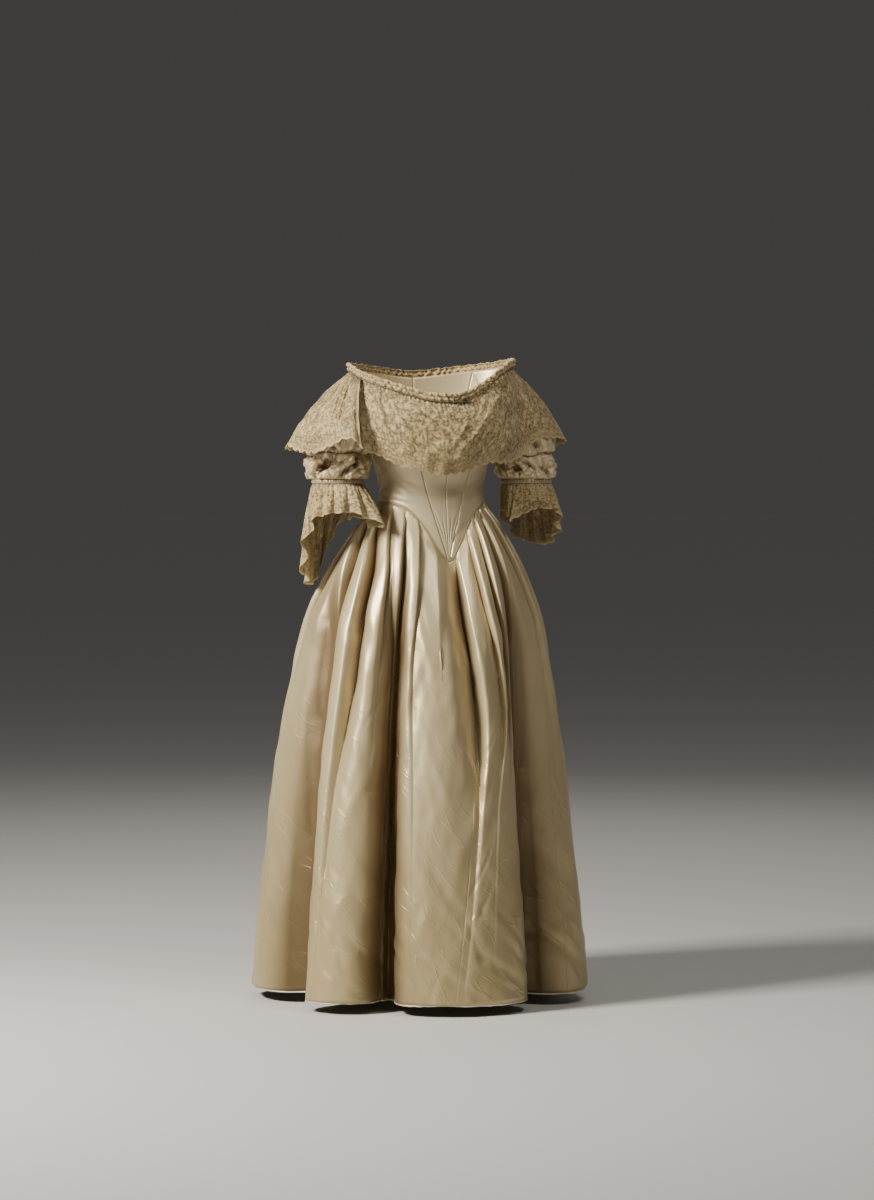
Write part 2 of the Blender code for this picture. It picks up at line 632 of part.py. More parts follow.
def build_skirt():
    columns = skirt_columns()
    seams = np.array(SKIRT_SEAMS)
    ends = np.append(seams[1:], seams[0] + 360)
    gap = np.degrees(0.5 * (SEAM + LIFT / 4) / 0.09)
    every = np.concatenate([columns - 360, columns, columns + 360])
    ring = []
    for number, (start, end) in enumerate(zip(seams, ends), 1):
        inside = every[(every > start + 1.0) & (every < end - 1.0)]
        waist = np.concatenate([[start + gap], inside, [end - gap]])
        sheet("skirt_panel_" + str(number), skirt(waist, SKIRT_ROWS), CLOTH, satin)
        ring.extend([start, *inside])
    edge = skirt(np.append(ring, ring[0] + 360), [0.97, 1.0])
    down = edge[:, 1:] - edge[:, :1]
    down = down / np.linalg.norm(down, axis=2, keepdims=True)
    reach = np.array([2 * SEAM, 2 * SEAM + BINDING])[None, :, None]
    sheet("hem_binding", edge[:, 1:] + down * reach, CLOTH, binding, closed=True)


def build_trims():
    angle = np.concatenate([np.linspace(-40, 40, 33), np.linspace(50, 310, 27)])
    cord("waist_piping", body(angle, waist_height(angle), -0.0004), PIPING_RADIUS, satin)
    columns = FRILL["waves"] * FRILL["columns"]
    angle = np.linspace(-180, 180, columns + 1)
    share = np.array([0.0, 1.0])
    height = neck_height(angle)[:, None] - CORD_BELOW + FRILL["height"] * share[None, :]
    wave = FRILL["wave"] * np.cos(FRILL["waves"] * np.radians(angle))[:, None] * (0.25 + 0.75 * share)
    out = COLLAR_STAND + 0.0012 + FRILL["lean"] * share[None, :] + wave
    points = np.stack([body(angle, height[:, row], out[:, row]) for row in (0, 1)], 1)
    sheet("neck_frill", points, LACE, lace, closed=True)
    angle = np.linspace(-180, 180, 57)[:-1]
    place = body(angle, neck_height(angle) - CORD_BELOW, COLLAR_STAND + 0.0036)
    cord("neck_cord", place, CORD_RADIUS, lace)


def build_collar():
    collar_part("lace_collar_left", COLLAR_LEFT, 62, 6, 0.0)
    collar_part("lace_collar_right", COLLAR_RIGHT, 38, 6, 0.0022)


def build_sleeves():
    for word, (side, arm, radius) in SLEEVES.items():
        centre = (side * arm, 0.0)
        sheet("sleeve_upper_puff_" + word, upper_puff(side, arm, radius), CLOTH, satin, True, centre)
        sheet("sleeve_lower_puff_" + word, lower_puff(side, arm, radius), CLOTH, satin, True, centre)
        sheet("sleeve_band_" + word, band(side, arm), CLOTH, satin, True, centre)
        sheet("lace_cuff_" + word, cuff(side, arm, CUFFS[word]), LACE, lace, True, centre)


for old in list(bpy.data.objects):
    bpy.data.objects.remove(old, do_unlink=True)
build_bodice()
build_skirt()
build_trims()
build_collar()
build_sleeves()
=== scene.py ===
import math
import bmesh
import bpy
import numpy as np
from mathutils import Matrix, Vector


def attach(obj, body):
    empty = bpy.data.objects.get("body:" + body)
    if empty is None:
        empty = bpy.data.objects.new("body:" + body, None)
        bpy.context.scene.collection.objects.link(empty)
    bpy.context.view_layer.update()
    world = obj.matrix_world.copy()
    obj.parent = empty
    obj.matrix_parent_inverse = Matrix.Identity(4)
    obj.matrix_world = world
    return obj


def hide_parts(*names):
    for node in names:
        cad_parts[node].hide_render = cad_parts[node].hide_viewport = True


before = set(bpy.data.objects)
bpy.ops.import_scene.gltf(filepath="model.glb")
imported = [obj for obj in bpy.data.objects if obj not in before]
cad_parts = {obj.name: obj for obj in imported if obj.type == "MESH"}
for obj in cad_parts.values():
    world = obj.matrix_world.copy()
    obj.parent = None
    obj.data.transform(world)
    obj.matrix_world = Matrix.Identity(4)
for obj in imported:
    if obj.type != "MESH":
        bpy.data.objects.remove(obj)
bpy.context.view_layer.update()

# Camera, floor and light.
cameraSettings = {
    "place": (-2.565, -7.048, 0.080), "aim": (0.0107, -0.0039, -0.1885), "lens": 118.4, "sensor": 36.0,
}
floorSettings = {"height": -0.942, "half": 60.0, "colour": (0.62, 0.605, 0.58, 1.0), "roughness": 0.8}
lights = (  # name, place, size, power, colour
    ("keyLight", (-2.66, -0.60, 1.50), 0.7, 205.0, (1.0, 0.965, 0.89)),
    ("topLight", (0.55, -1.35, 1.50), 0.7, 14.0, (1.0, 0.97, 0.91)),
    ("backLight", (1.6, 3.0, 2.2), 2.2, 26.0, (1.0, 0.97, 0.93)),
)
lightSettings = {
    "aim": (0.0, 0.0, -0.25),
    "even": 0.11,  # from straight above, so that the far floor is as pale as the background
    "evenAngle": 0.6,
    "world": (0.055, 0.054, 0.052, 1.0),
}


def aimAt(thing, point):
    direction = Vector(point) - thing.location
    thing.rotation_euler = direction.to_track_quat("-Z", "Y").to_euler()


def buildStudio():
    scene = bpy.context.scene
    camera = bpy.data.objects.new("camera", bpy.data.cameras.new("camera"))
    scene.collection.objects.link(camera)
    camera.data.lens = cameraSettings["lens"]
    camera.data.sensor_width = cameraSettings["sensor"]
    camera.location = cameraSettings["place"]
    aimAt(camera, cameraSettings["aim"])
    scene.camera = camera
    for name, place, size, power, colour in lights:
        light = bpy.data.objects.new(name, bpy.data.lights.new(name, "AREA"))
        scene.collection.objects.link(light)
        light.data.energy = power
        light.data.size = size
        light.data.color = colour
        light.location = place
        aimAt(light, lightSettings["aim"])
    even = bpy.data.objects.new("evenLight", bpy.data.lights.new("evenLight", "SUN"))
    scene.collection.objects.link(even)
    even.data.energy = lightSettings["even"]
    even.data.angle = lightSettings["evenAngle"]
    world = bpy.data.worlds.new("studio")
    world.use_nodes = True
    world.node_tree.nodes["Background"].inputs[0].default_value = lightSettings["world"]
    scene.world = world
    half = floorSettings["half"]
    high = floorSettings["height"]
    mesh = bpy.data.meshes.new("floor")
    corners = [(-half, -half, high), (half, -half, high), (half, half, high), (-half, half, high)]
    mesh.from_pydata(corners, [], [(0, 1, 2, 3)])
    floor = bpy.data.objects.new("floor", mesh)
    scene.collection.objects.link(floor)
    paint = bpy.data.materials.new("floorPaint")
    paint.use_nodes = True
    shader = paint.node_tree.nodes["Principled BSDF"]
    shader.inputs["Base Color"].default_value = floorSettings["colour"]
    shader.inputs["Roughness"].default_value = floorSettings["roughness"]
    mesh.materials.append(paint)


buildStudio()
print("stage: studio")

# Tables of the cut, in metres, and in degrees from centre front towards the wearer's left.

waist = {"drop": 0.1155, "spread": 25.3, "power": 1.4, "round": 2.2, "space": 0.0015}
bodyTable = np.array([  # height, half width, depth to the front, depth to the back
    (-0.115, 0.1250, 0.1010, 0.1150),
    (-0.060, 0.1120, 0.0920, 0.1000),
    (0.000, 0.1035, 0.0850, 0.0850),
    (0.020, 0.1020, 0.0830, 0.0830),
    (0.060, 0.1080, 0.0940, 0.0900),
    (0.100, 0.1190, 0.1110, 0.0970),
    (0.130, 0.1280, 0.1200, 0.1000),
    (0.160, 0.1360, 0.1190, 0.1020),
    (0.190, 0.1450, 0.1140, 0.1020),
    (0.260, 0.1590, 0.1040, 0.1000),
])
neckTable = np.array([  # angle, height of the neckline
    (-180, 0.235),
    (-120, 0.248),
    (-90, 0.246),
    (-75, 0.234),
    (-54, 0.219),
    (-40, 0.208),
    (-26, 0.197),
    (-13, 0.190),
    (0, 0.189),
    (12, 0.195),
    (25, 0.212),
    (50, 0.246),
    (60, 0.254),
    (90, 0.258),
    (120, 0.252),
    (180, 0.235),
])
seamTable = np.array([  # height, angle of the dart seam, angle of the curved back seam
    (-0.112, 1.2, 164.0),
    (-0.096, 2.6, 163.0),
    (-0.075, 5.4, 162.0),
    (-0.036, 11.8, 160.0),
    (-0.006, 17.0, 158.0),
    (0.026, 22.5, 155.0),
    (0.061, 28.0, 150.0),
    (0.110, 33.0, 142.0),
    (0.260, 36.0, 134.0),
])
armhole = {"half": 32.0, "under": 0.113, "ends": 0.200, "rise": 0.026, "strap": 45.0}


def smoothThrough(stations, values, at):
    # A smooth curve through the values that doesn't overshoot them: cubic pieces whose slopes at each
    # station are the harmonic mean of the slopes on both sides, or 0 at a peak. Values may have columns.
    stations = np.asarray(stations, float)
    values = np.asarray(values, float)
    at = np.asarray(at, float)
    more = (1,) * (values.ndim - 1)
    step = np.diff(stations).reshape((-1, *more))
    slope = np.diff(values, axis=0) / step
    product = slope[:-1] * slope[1:]
    total = np.where(product > 0, slope[:-1] + slope[1:], 1.0)
    inner = np.where(product > 0, 2 * product / total, 0.0)
    tangent = np.concatenate([slope[:1], inner, slope[-1:]])
    i = np.clip(np.searchsorted(stations, at, side="right") - 1, 0, len(stations) - 2)
    t = np.clip((at - stations[i]) / np.diff(stations)[i], 0, 1).reshape(at.shape + more)
    start = (1 + 2 * t) * (1 - t) ** 2 * values[i] + t * (1 - t) ** 2 * step[i] * tangent[i]
    end = t**2 * (3 - 2 * t) * values[i + 1] - t**2 * (1 - t) * step[i] * tangent[i + 1]
    return start + end


def around(angle):
    return (np.asarray(angle, float) + 180) % 360 - 180


def smoothStep(low, high, value):
    t = np.clip((value - low) / (high - low), 0, 1)
    return t * t * (3 - 2 * t)


def waistHeight(angle):
    # Level at the sides and back, falling to a rounded point at centre front.
    off = np.sqrt(around(angle) ** 2 + waist["round"] ** 2)
    return -waist["drop"] * np.exp(-((off / waist["spread"]) ** waist["power"]))


def waistSpace(angle):
    rise = waistHeight(angle + 0.5) - waistHeight(angle - 0.5)
    run = 0.1 * np.radians(1.0)
    return waist["space"] * np.sqrt(1 + (rise / run) ** 2)


def neckHeight(angle):
    return smoothThrough(neckTable[:, 0], neckTable[:, 1], around(angle))


def bodySizes(height):
    # Half width, and depth to the front and to the back, at each height.
    return [smoothThrough(bodyTable[:, 0], bodyTable[:, n], height) for n in (1, 2, 3)]


def bodyPoint(angle, height, out=0.0):
    # An ellipse at each height, with its own depth in front and behind, moved out.
    half, front, back = [size + out for size in bodySizes(height)]
    turn = np.radians(angle)
    depth = np.where(np.cos(turn) > 0, front, back)
    return np.stack([half * np.sin(turn), -depth * np.cos(turn), height + 0 * turn], -1)


def armholeHeight(angle):
    share = np.clip((90 - np.abs(angle)) / armhole["half"], -1, 1)
    return armhole["ends"] - (armhole["ends"] - armhole["under"]) * np.sqrt(1 - share**2)


def bodiceTop(angle):
    # Top edge by angle: the neckline, the end of the strap, then the armhole.
    off = np.abs(around(angle))
    off = np.where(off > 90, 180 - off, off)
    side = np.where(around(angle) < 0, -1, 1)
    start = np.where(np.abs(around(angle)) > 90, 180 - armhole["strap"], armhole["strap"]) * side
    end = 90 - armhole["half"]
    slope = np.clip((off - armhole["strap"]) / (end - armhole["strap"]), 0, 1)
    strap = neckHeight(start) * (1 - slope) + armhole["ends"] * slope - 0.0006
    outer = np.where(off < end, strap, armholeHeight(off))
    return np.where(off < armhole["strap"], neckHeight(angle), outer)


def gridNormals(points, centre):
    # Unit normals of a grid of points, from the cross product of its two directions, and whether they
    # face away from a vertical axis.
    normal = np.cross(np.gradient(points, axis=0), np.gradient(points, axis=1))
    normal = normal / np.maximum(np.linalg.norm(normal, axis=-1, keepdims=True), 1e-12)
    return normal, (normal[..., :2] * (points[..., :2] - np.array(centre))).sum() > 0


def outwards(points, centre=(0.0, 0.0)):
    # The same normals, turned to face away from the axis.
    normal, facing = gridNormals(points, centre)
    return normal if facing else -normal


def arcs(points):
    # Length along each direction of a grid, in metres: the pattern coordinates of the cloth.
    across = np.linalg.norm(np.diff(points, axis=0), axis=-1).mean(1)
    down = np.linalg.norm(np.diff(points, axis=1), axis=-1).mean(0)
    u = np.concatenate([[0.0], np.cumsum(across)])
    v = np.concatenate([[0.0], np.cumsum(down)])
    return np.stack(np.meshgrid(u, v, indexing="ij"), -1)


def clothMesh(name, points, material, closed=False, wall=0.0, centre=(0.0, 0.0), shades=None, uv=None):
    # A sheet through a grid of points [column, row]: a quad between each four. A closed one joins its
    # last column, which repeats the first. Shades are named values, one to a point.
    uv = arcs(points) if uv is None else uv
    columns, rows = points.shape[:2]
    kept = columns - 1 if closed else columns
    column, row = np.meshgrid(np.arange(columns - 1), np.arange(rows - 1), indexing="ij")
    following = (column + 1) % kept
    here = column * rows + row
    beside = following * rows + row
    quads = np.stack([here, beside, beside + 1, here + 1], -1).reshape(-1, 4)
    cornerUv = np.stack([uv[:-1, :-1], uv[1:, :-1], uv[1:, 1:], uv[:-1, 1:]], 2).reshape(-1, 4, 2)
    if not gridNormals(points, centre)[1]:
        quads = quads[:, ::-1]
        cornerUv = cornerUv[:, ::-1]
    mesh = bpy.data.meshes.new(name)
    mesh.vertices.add(kept * rows)
    mesh.vertices.foreach_set("co", points[:kept].reshape(-1).astype(np.float32))
    mesh.loops.add(quads.size)
    mesh.loops.foreach_set("vertex_index", quads.reshape(-1).astype(np.int32))
    mesh.polygons.add(len(quads))
    mesh.polygons.foreach_set("loop_start", np.arange(0, quads.size, 4, dtype=np.int32))
    mesh.uv_layers.new(name="cloth").data.foreach_set("uv", cornerUv.reshape(-1).astype(np.float32))
    for label, value in (shades or {}).items():
        layer = mesh.attributes.new(label, "FLOAT", "POINT")
        layer.data.foreach_set("value", value[:kept].reshape(-1).astype(np.float32))
    mesh.update(calc_edges=True)
    mesh.validate()
    mesh.shade_smooth()
    mesh.materials.append(material)
    piece = bpy.data.objects.new(name, mesh)
    bpy.context.scene.collection.objects.link(piece)
    if wall:
        thick = piece.modifiers.new("wall", "SOLIDIFY")
        thick.thickness = wall
        thick.offset = -1.0
        thick.use_even_offset = False
    return piece


def sweptTube(line, profile, closed=True):
    # A closed profile carried along a path: each point's frame is the path's direction, the direction
    # away from the vertical axis, and their cross product.
    ahead = np.roll(line, -1, axis=0) - np.roll(line, 1, axis=0) if closed else np.gradient(line, axis=0)
    ahead = ahead / np.linalg.norm(ahead, axis=1, keepdims=True)
    away = line * np.array([1.0, 1.0, 0.0])
    away = away - ahead * (away * ahead).sum(1, keepdims=True)
    away = away / np.linalg.norm(away, axis=1, keepdims=True)
    third = np.cross(ahead, away)
    points = line[:, None] + away[:, None] * profile[..., :1] + third[:, None] * profile[..., 1:]
    return np.concatenate([points, points[:1]]) if closed else points


def pieceName(node):
    # The node's name in camelCase: skirt_panel_1 is dressed by skirtPanel1.
    first, *others = node.split("_")
    return first + "".join(word.title() for word in others)


def stands(piece, node):
    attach(piece, "root")
    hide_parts(node)


def declare(piece, node):
    stands(piece, node)


def newGroup(name, inputs, outputs):
    group = bpy.data.node_groups.new(name, "ShaderNodeTree")
    for label, kind, value in inputs:
        socket = group.interface.new_socket(name=label, in_out="INPUT", socket_type=kind)
        if value is not None:
            socket.default_value = value
    for label, kind in outputs:
        group.interface.new_socket(name=label, in_out="OUTPUT", socket_type=kind)
    return group, group.nodes.new("NodeGroupInput"), group.nodes.new("NodeGroupOutput")


def addNode(tree, kind, settings=None, **links):
    # A node with its settings, and its inputs set or linked by name, or by number as n0, n1 and so on.
    node = tree.nodes.new(kind)
    for label, value in (settings or {}).items():
        setattr(node, label, value)
    for label, value in links.items():
        numbered = label[0] == "n" and label[1:].isdigit()
        socket = node.inputs[int(label[1:]) if numbered else label]
        if isinstance(value, bpy.types.NodeSocket):
            tree.links.new(value, socket)
        else:
            socket.default_value = value
    return node


def mathNode(tree, operation, first, second=0.0, third=0.0, clamp=False):
    settings = {"operation": operation, "use_clamp": clamp}
    return addNode(tree, "ShaderNodeMath", settings, n0=first, n1=second, n2=third).outputs[0]


def noiseNode(tree, vector, scale, detail, output=0):
    place = stretched(tree, vector, scale)
    node = addNode(tree, "ShaderNodeTexNoise", None, Vector=place, Scale=1.0, Detail=detail)
    return node.outputs[output]


def cellNode(tree, vector, scale, settings, bend=None, **values):
    # Cells round scattered points, on coordinates that are scaled and, where given, bent.
    place = stretched(tree, vector, scale)
    place = place if bend is None else addVectors(tree, place, bend)
    return addNode(tree, "ShaderNodeTexVoronoi", settings, Vector=place, Scale=1.0, **values)


def rangeNode(tree, value, fromLow, fromHigh, toLow, toHigh):
    node = addNode(tree, "ShaderNodeMapRange", {"interpolation_type": "SMOOTHSTEP"}, n0=value)
    for index, limit in enumerate((fromLow, fromHigh, toLow, toHigh), 1):
        node.inputs[index].default_value = limit
    return node.outputs[0]


def addVectors(tree, first, second):
    return addNode(tree, "ShaderNodeVectorMath", {"operation": "ADD"}, n0=first, n1=second).outputs[0]


def stretched(tree, vector, scale):
    return addNode(tree, "ShaderNodeVectorMath", {"operation": "MULTIPLY"}, n0=vector, n1=scale).outputs[0]


def mixColours(tree, share, first, second):
    node = addNode(tree, "ShaderNodeMix", {"data_type": "RGBA"})
    for socket, value in ((node.inputs[0], share), (node.inputs[6], first), (node.inputs[7], second)):
        if isinstance(value, bpy.types.NodeSocket):
            tree.links.new(value, socket)
        else:
            socket.default_value = value
    return node.outputs[2]


satinLook = {
    "slow": (6, 3, 1), "warp": (900, 40, 1), "fine": (70, 34, 1), "bend": (9, 9, 1),  # cells to a metre
    "facets": (26, 14, 1), "facetBend": 1.6, "facetHeight": 0.0011, "softness": 0.35,
    "creases": (38, 10, 1), "creaseBend": 0.7, "creaseTurn": 0.75, "creaseWidth": 0.075,
    "creaseHeight": 0.00045, "patches": (17, 13, 1), "patchRange": (0.42, 0.60),
    "creasesFrom": (0.20, 0.65),  # metres from the waist, as hemFrom is
    # painted shade: the hem's tone darkens the satin towards the hem, and the deep tint darkens it in folds
    "hemFrom": (0.30, 0.95), "hemPaintedShade": 0.50, "warpTone": 0.10, "paintedShadeTint": (0.26, 0.20, 0.14),
    "roughness": 0.30, "warpRoughness": 0.16, "fineHeight": 0.0005, "warpHeight": 0.00005,
}
laceLook = {
    "bend": (60, 60, 1), "flowers": (150, 150, 1), "flowerBend": 0.6, "scatter": 0.75, "flower": 0.75,
    "petals": 6.0, "petalSize": 0.36, "petalDepth": 0.11, "petalEdge": (-0.02, 0.07), "eye": (0.05, 0.13),
    "stems": (330, 250, 1), "stemBend": 3.0, "stemEdge": (0.05, 0.18), "stem": 0.45,
    "net": (520, 520, 1), "netScatter": 0.55, "thread": 0.25, "solid": (0.25, 0.45),
    "stitch": (650, 380, 1), "stitchTone": 0.30, "stitchHeight": 0.0002,
    "aged": (13, 17, 1), "agedTone": (1.1, -0.64), "workTone": 0.80, "workHeight": 0.0004,
}


def buildSatinGroup():
    # Satin: slow mottling between two tones, fine warp streaks down the cloth, soft facets between
    # crumples, and thin sharp creases that come and go. It is darker near the hem, a painted shade, and
    # darker and browner deep in its folds, a painted shade set by a value that the mesh carries.
    look = satinLook
    group, given, out = newGroup(
        "satinFace",
        [("Cloth", "NodeSocketVector", None), ("Light", "NodeSocketColor", (0.8, 0.7, 0.5, 1)),
         ("Deep", "NodeSocketColor", (0.6, 0.5, 0.35, 1)), ("Crumple", "NodeSocketFloat", 1.0),
         ("Fold", "NodeSocketFloat", 0.0)],
        [("Colour", "NodeSocketColor"), ("Rough", "NodeSocketFloat"), ("Height", "NodeSocketFloat")],
    )
    cloth = given.outputs["Cloth"]
    slow = noiseNode(group, cloth, look["slow"], 3.0)
    warp = noiseNode(group, cloth, look["warp"], 2.0)
    fine = noiseNode(group, cloth, look["fine"], 3.0)
    bent = noiseNode(group, cloth, look["bend"], 2.0, "Color")
    facetBend = stretched(group, bent, (look["facetBend"], look["facetBend"], 1))
    settings = {"feature": "SMOOTH_F1"}
    facets = cellNode(group, cloth, look["facets"], settings, facetBend, Smoothness=look["softness"])
    settings = {"rotation_type": "Z_AXIS"}
    turned = addNode(group, "ShaderNodeVectorRotate", settings, Vector=cloth, Angle=look["creaseTurn"])
    creaseBend = stretched(group, bent, (look["creaseBend"], look["creaseBend"], 1))
    settings = {"feature": "DISTANCE_TO_EDGE"}
    creased = cellNode(group, turned.outputs[0], look["creases"], settings, creaseBend, Randomness=1.0)
    line = rangeNode(group, creased.outputs["Distance"], 0.0, look["creaseWidth"], 1.0, 0.0)
    shown = rangeNode(group, noiseNode(group, cloth, look["patches"], 2.0), *look["patchRange"], 0.0, 1.0)
    down = addNode(group, "ShaderNodeSeparateXYZ", None, Vector=cloth).outputs["Y"]
    shown = mathNode(group, "MULTIPLY", shown, rangeNode(group, down, *look["creasesFrom"], 0.0, 1.0))
    tone = mathNode(group, "MULTIPLY_ADD", slow, 1.5, -0.25, True)
    # painted shade: darker towards the hem, where the light falls off
    tone = mathNode(group, "ADD", tone, rangeNode(group, down, *look["hemFrom"], 0.0, look["hemPaintedShade"]))
    share = mathNode(group, "MULTIPLY_ADD", warp, look["warpTone"], tone, True)
    face = mixColours(group, share, given.outputs["Light"], given.outputs["Deep"])
    # painted shade in the folds: the face colour darkened and browned, mixed in by the mesh's value
    paintedShadeColour = stretched(group, face, look["paintedShadeTint"])
    rough = mathNode(group, "MULTIPLY_ADD", warp, look["warpRoughness"], look["roughness"])
    height = mathNode(group, "MULTIPLY", facets.outputs["Distance"], look["facetHeight"])
    height = mathNode(group, "MULTIPLY_ADD", fine, look["fineHeight"], height)
    sharp = mathNode(group, "MULTIPLY", line, shown)
    height = mathNode(group, "MULTIPLY_ADD", sharp, look["creaseHeight"], height)
    height = mathNode(group, "MULTIPLY", height, given.outputs["Crumple"])
    group.links.new(mixColours(group, given.outputs["Fold"], face, paintedShadeColour), out.inputs["Colour"])
    group.links.new(rough, out.inputs["Rough"])
    group.links.new(mathNode(group, "MULTIPLY_ADD", warp, look["warpHeight"], height), out.inputs["Height"])
    return group


def buildLaceGroup():
    # Lace: the mesh carries a motif value for its larger flowers and leaves. Between them the group
    # draws small six-petalled flowers round scattered points, wandering stems, and a net of fine cells.
    look = laceLook
    group, given, out = newGroup(
        "laceFace",
        [("Cloth", "NodeSocketVector", None), ("Motif", "NodeSocketFloat", 0.5),
         ("Light", "NodeSocketColor", (0.6, 0.5, 0.3, 1)), ("Deep", "NodeSocketColor", (0.3, 0.2, 0.1, 1))],
        [("Colour", "NodeSocketColor"), ("Alpha", "NodeSocketFloat"), ("Height", "NodeSocketFloat")],
    )
    cloth = given.outputs["Cloth"]
    bent = noiseNode(group, cloth, look["bend"], 2.0, "Color")
    flowerBend = stretched(group, bent, (look["flowerBend"], look["flowerBend"], 0))
    warped = addVectors(group, stretched(group, cloth, look["flowers"]), flowerBend)
    flat = {"voronoi_dimensions": "2D"}
    toEdge = {"feature": "DISTANCE_TO_EDGE", "voronoi_dimensions": "2D"}
    flowers = addNode(group, "ShaderNodeTexVoronoi", flat, Vector=warped, Scale=1.0)
    flowers.inputs["Randomness"].default_value = look["scatter"]
    settings = {"operation": "SUBTRACT"}
    local = addNode(group, "ShaderNodeVectorMath", settings, n0=warped, n1=flowers.outputs["Position"])
    parts = addNode(group, "ShaderNodeSeparateXYZ", None, Vector=local.outputs[0])
    turn = mathNode(group, "ARCTAN2", parts.outputs["Y"], parts.outputs["X"])
    petals = mathNode(group, "COSINE", mathNode(group, "MULTIPLY", turn, look["petals"]))
    away = flowers.outputs["Distance"]
    inside = mathNode(group, "MULTIPLY_ADD", petals, look["petalDepth"], look["petalSize"])
    inside = mathNode(group, "SUBTRACT", inside, away)
    flower = rangeNode(group, inside, *look["petalEdge"], 0.0, 1.0)
    flower = mathNode(group, "MULTIPLY", flower, rangeNode(group, away, *look["eye"], 0.0, 1.0))
    stemBend = stretched(group, bent, (look["stemBend"], look["stemBend"], 0))
    stems = cellNode(group, cloth, look["stems"], toEdge, stemBend, Randomness=1.0).outputs["Distance"]
    stem = rangeNode(group, stems, *look["stemEdge"], look["stem"], 0.0)
    work = mathNode(group, "MAXIMUM", mathNode(group, "MULTIPLY", flower, look["flower"]), stem)
    work = mathNode(group, "MAXIMUM", work, given.outputs["Motif"])
    net = cellNode(group, cloth, look["net"], toEdge, Randomness=look["netScatter"]).outputs["Distance"]
    thread = mathNode(group, "LESS_THAN", net, look["thread"])
    solid = rangeNode(group, work, *look["solid"], 0.0, 1.0)
    stitch = noiseNode(group, cloth, look["stitch"], 1.0)
    aged = mathNode(group, "MULTIPLY_ADD", noiseNode(group, cloth, look["aged"], 4.0), *look["agedTone"])
    lightness = mathNode(group, "MULTIPLY_ADD", work, look["workTone"], aged)
    shade = mathNode(group, "MULTIPLY_ADD", stitch, look["stitchTone"], lightness, True)
    # painted shade: the dark ground between the motifs stands in for shadowed satin seen through the net
    face = mixColours(group, shade, given.outputs["Deep"], given.outputs["Light"])
    height = mathNode(group, "MULTIPLY", stitch, look["stitchHeight"])
    height = mathNode(group, "MULTIPLY_ADD", work, look["workHeight"], height)
    group.links.new(face, out.inputs["Colour"])
    group.links.new(mathNode(group, "MAXIMUM", thread, solid, 0.0, True), out.inputs["Alpha"])
    group.links.new(height, out.inputs["Height"])
    return group


def clothMaterial(name, group, light, deep, shade, outputs, constants):
    # A Principled material whose group reads the cloth's own UV map and one value carried by the mesh.
    made = bpy.data.materials.new(name)
    made.use_nodes = True
    tree = made.node_tree
    shader = tree.nodes["Principled BSDF"]
    cloth = addNode(tree, "ShaderNodeUVMap", {"uv_map": "cloth"})
    carried = addNode(tree, "ShaderNodeAttribute", {"attribute_name": shade})
    face = addNode(tree, "ShaderNodeGroup", {"node_tree": group}, Cloth=cloth.outputs[0])
    tree.links.new(carried.outputs["Fac"], face.inputs[shade.title()])
    face.inputs["Light"].default_value = (*light, 1.0)
    face.inputs["Deep"].default_value = (*deep, 1.0)
    for output, socket in outputs:
        tree.links.new(face.outputs[output], shader.inputs[socket])
    bump = addNode(tree, "ShaderNodeBump", None, Strength=1.0, Distance=1.0, Height=face.outputs["Height"])
    tree.links.new(bump.outputs[0], shader.inputs["Normal"])
    for socket, value in constants.items():
        shader.inputs[socket].default_value = value
    return face, made


satinGroup = buildSatinGroup()
laceGroup = buildLaceGroup()
satinConstants = {"Metallic": 0.35, "Specular IOR Level": 0.5, "Sheen Weight": 0.12, "Sheen Roughness": 0.4}
laceConstants = {"Roughness": 0.72, "Specular IOR Level": 0.3, "Sheen Weight": 0.2}


def satinMaterial(name, light, deep, crumple):
    outputs = (("Colour", "Base Color"), ("Rough", "Roughness"))
    face, made = clothMaterial(name, satinGroup, light, deep, "fold", outputs, satinConstants)
    face.inputs["Crumple"].default_value = crumple
    return made


def laceMaterial(name, light, deep):
    outputs = (("Colour", "Base Color"), ("Alpha", "Alpha"))
    return clothMaterial(name, laceGroup, light, deep, "motif", outputs, laceConstants)[1]


skirtSatin = satinMaterial("skirtSatin", (0.74, 0.62, 0.385), (0.50, 0.395, 0.205), 1.0)
bodiceSatin = satinMaterial("bodiceSatin", (0.73, 0.62, 0.40), (0.57, 0.46, 0.265), 0.35)
sleeveSatin = satinMaterial("sleeveSatin", (0.73, 0.60, 0.39), (0.56, 0.44, 0.255), 0.5)
bindingSatin = satinMaterial("bindingTape", (0.78, 0.73, 0.60), (0.68, 0.61, 0.46), 0.3)
# the deep colour, near black, is painted shade for the lace's ground; the light colour is the lace's own
ecruLace = laceMaterial("ecruLace", (0.66, 0.505, 0.255), (0.13, 0.086, 0.032))
cordThread = satinMaterial("cordThread", (0.30, 0.22, 0.12), (0.14, 0.10, 0.05), 0.2)
print("stage: materials")

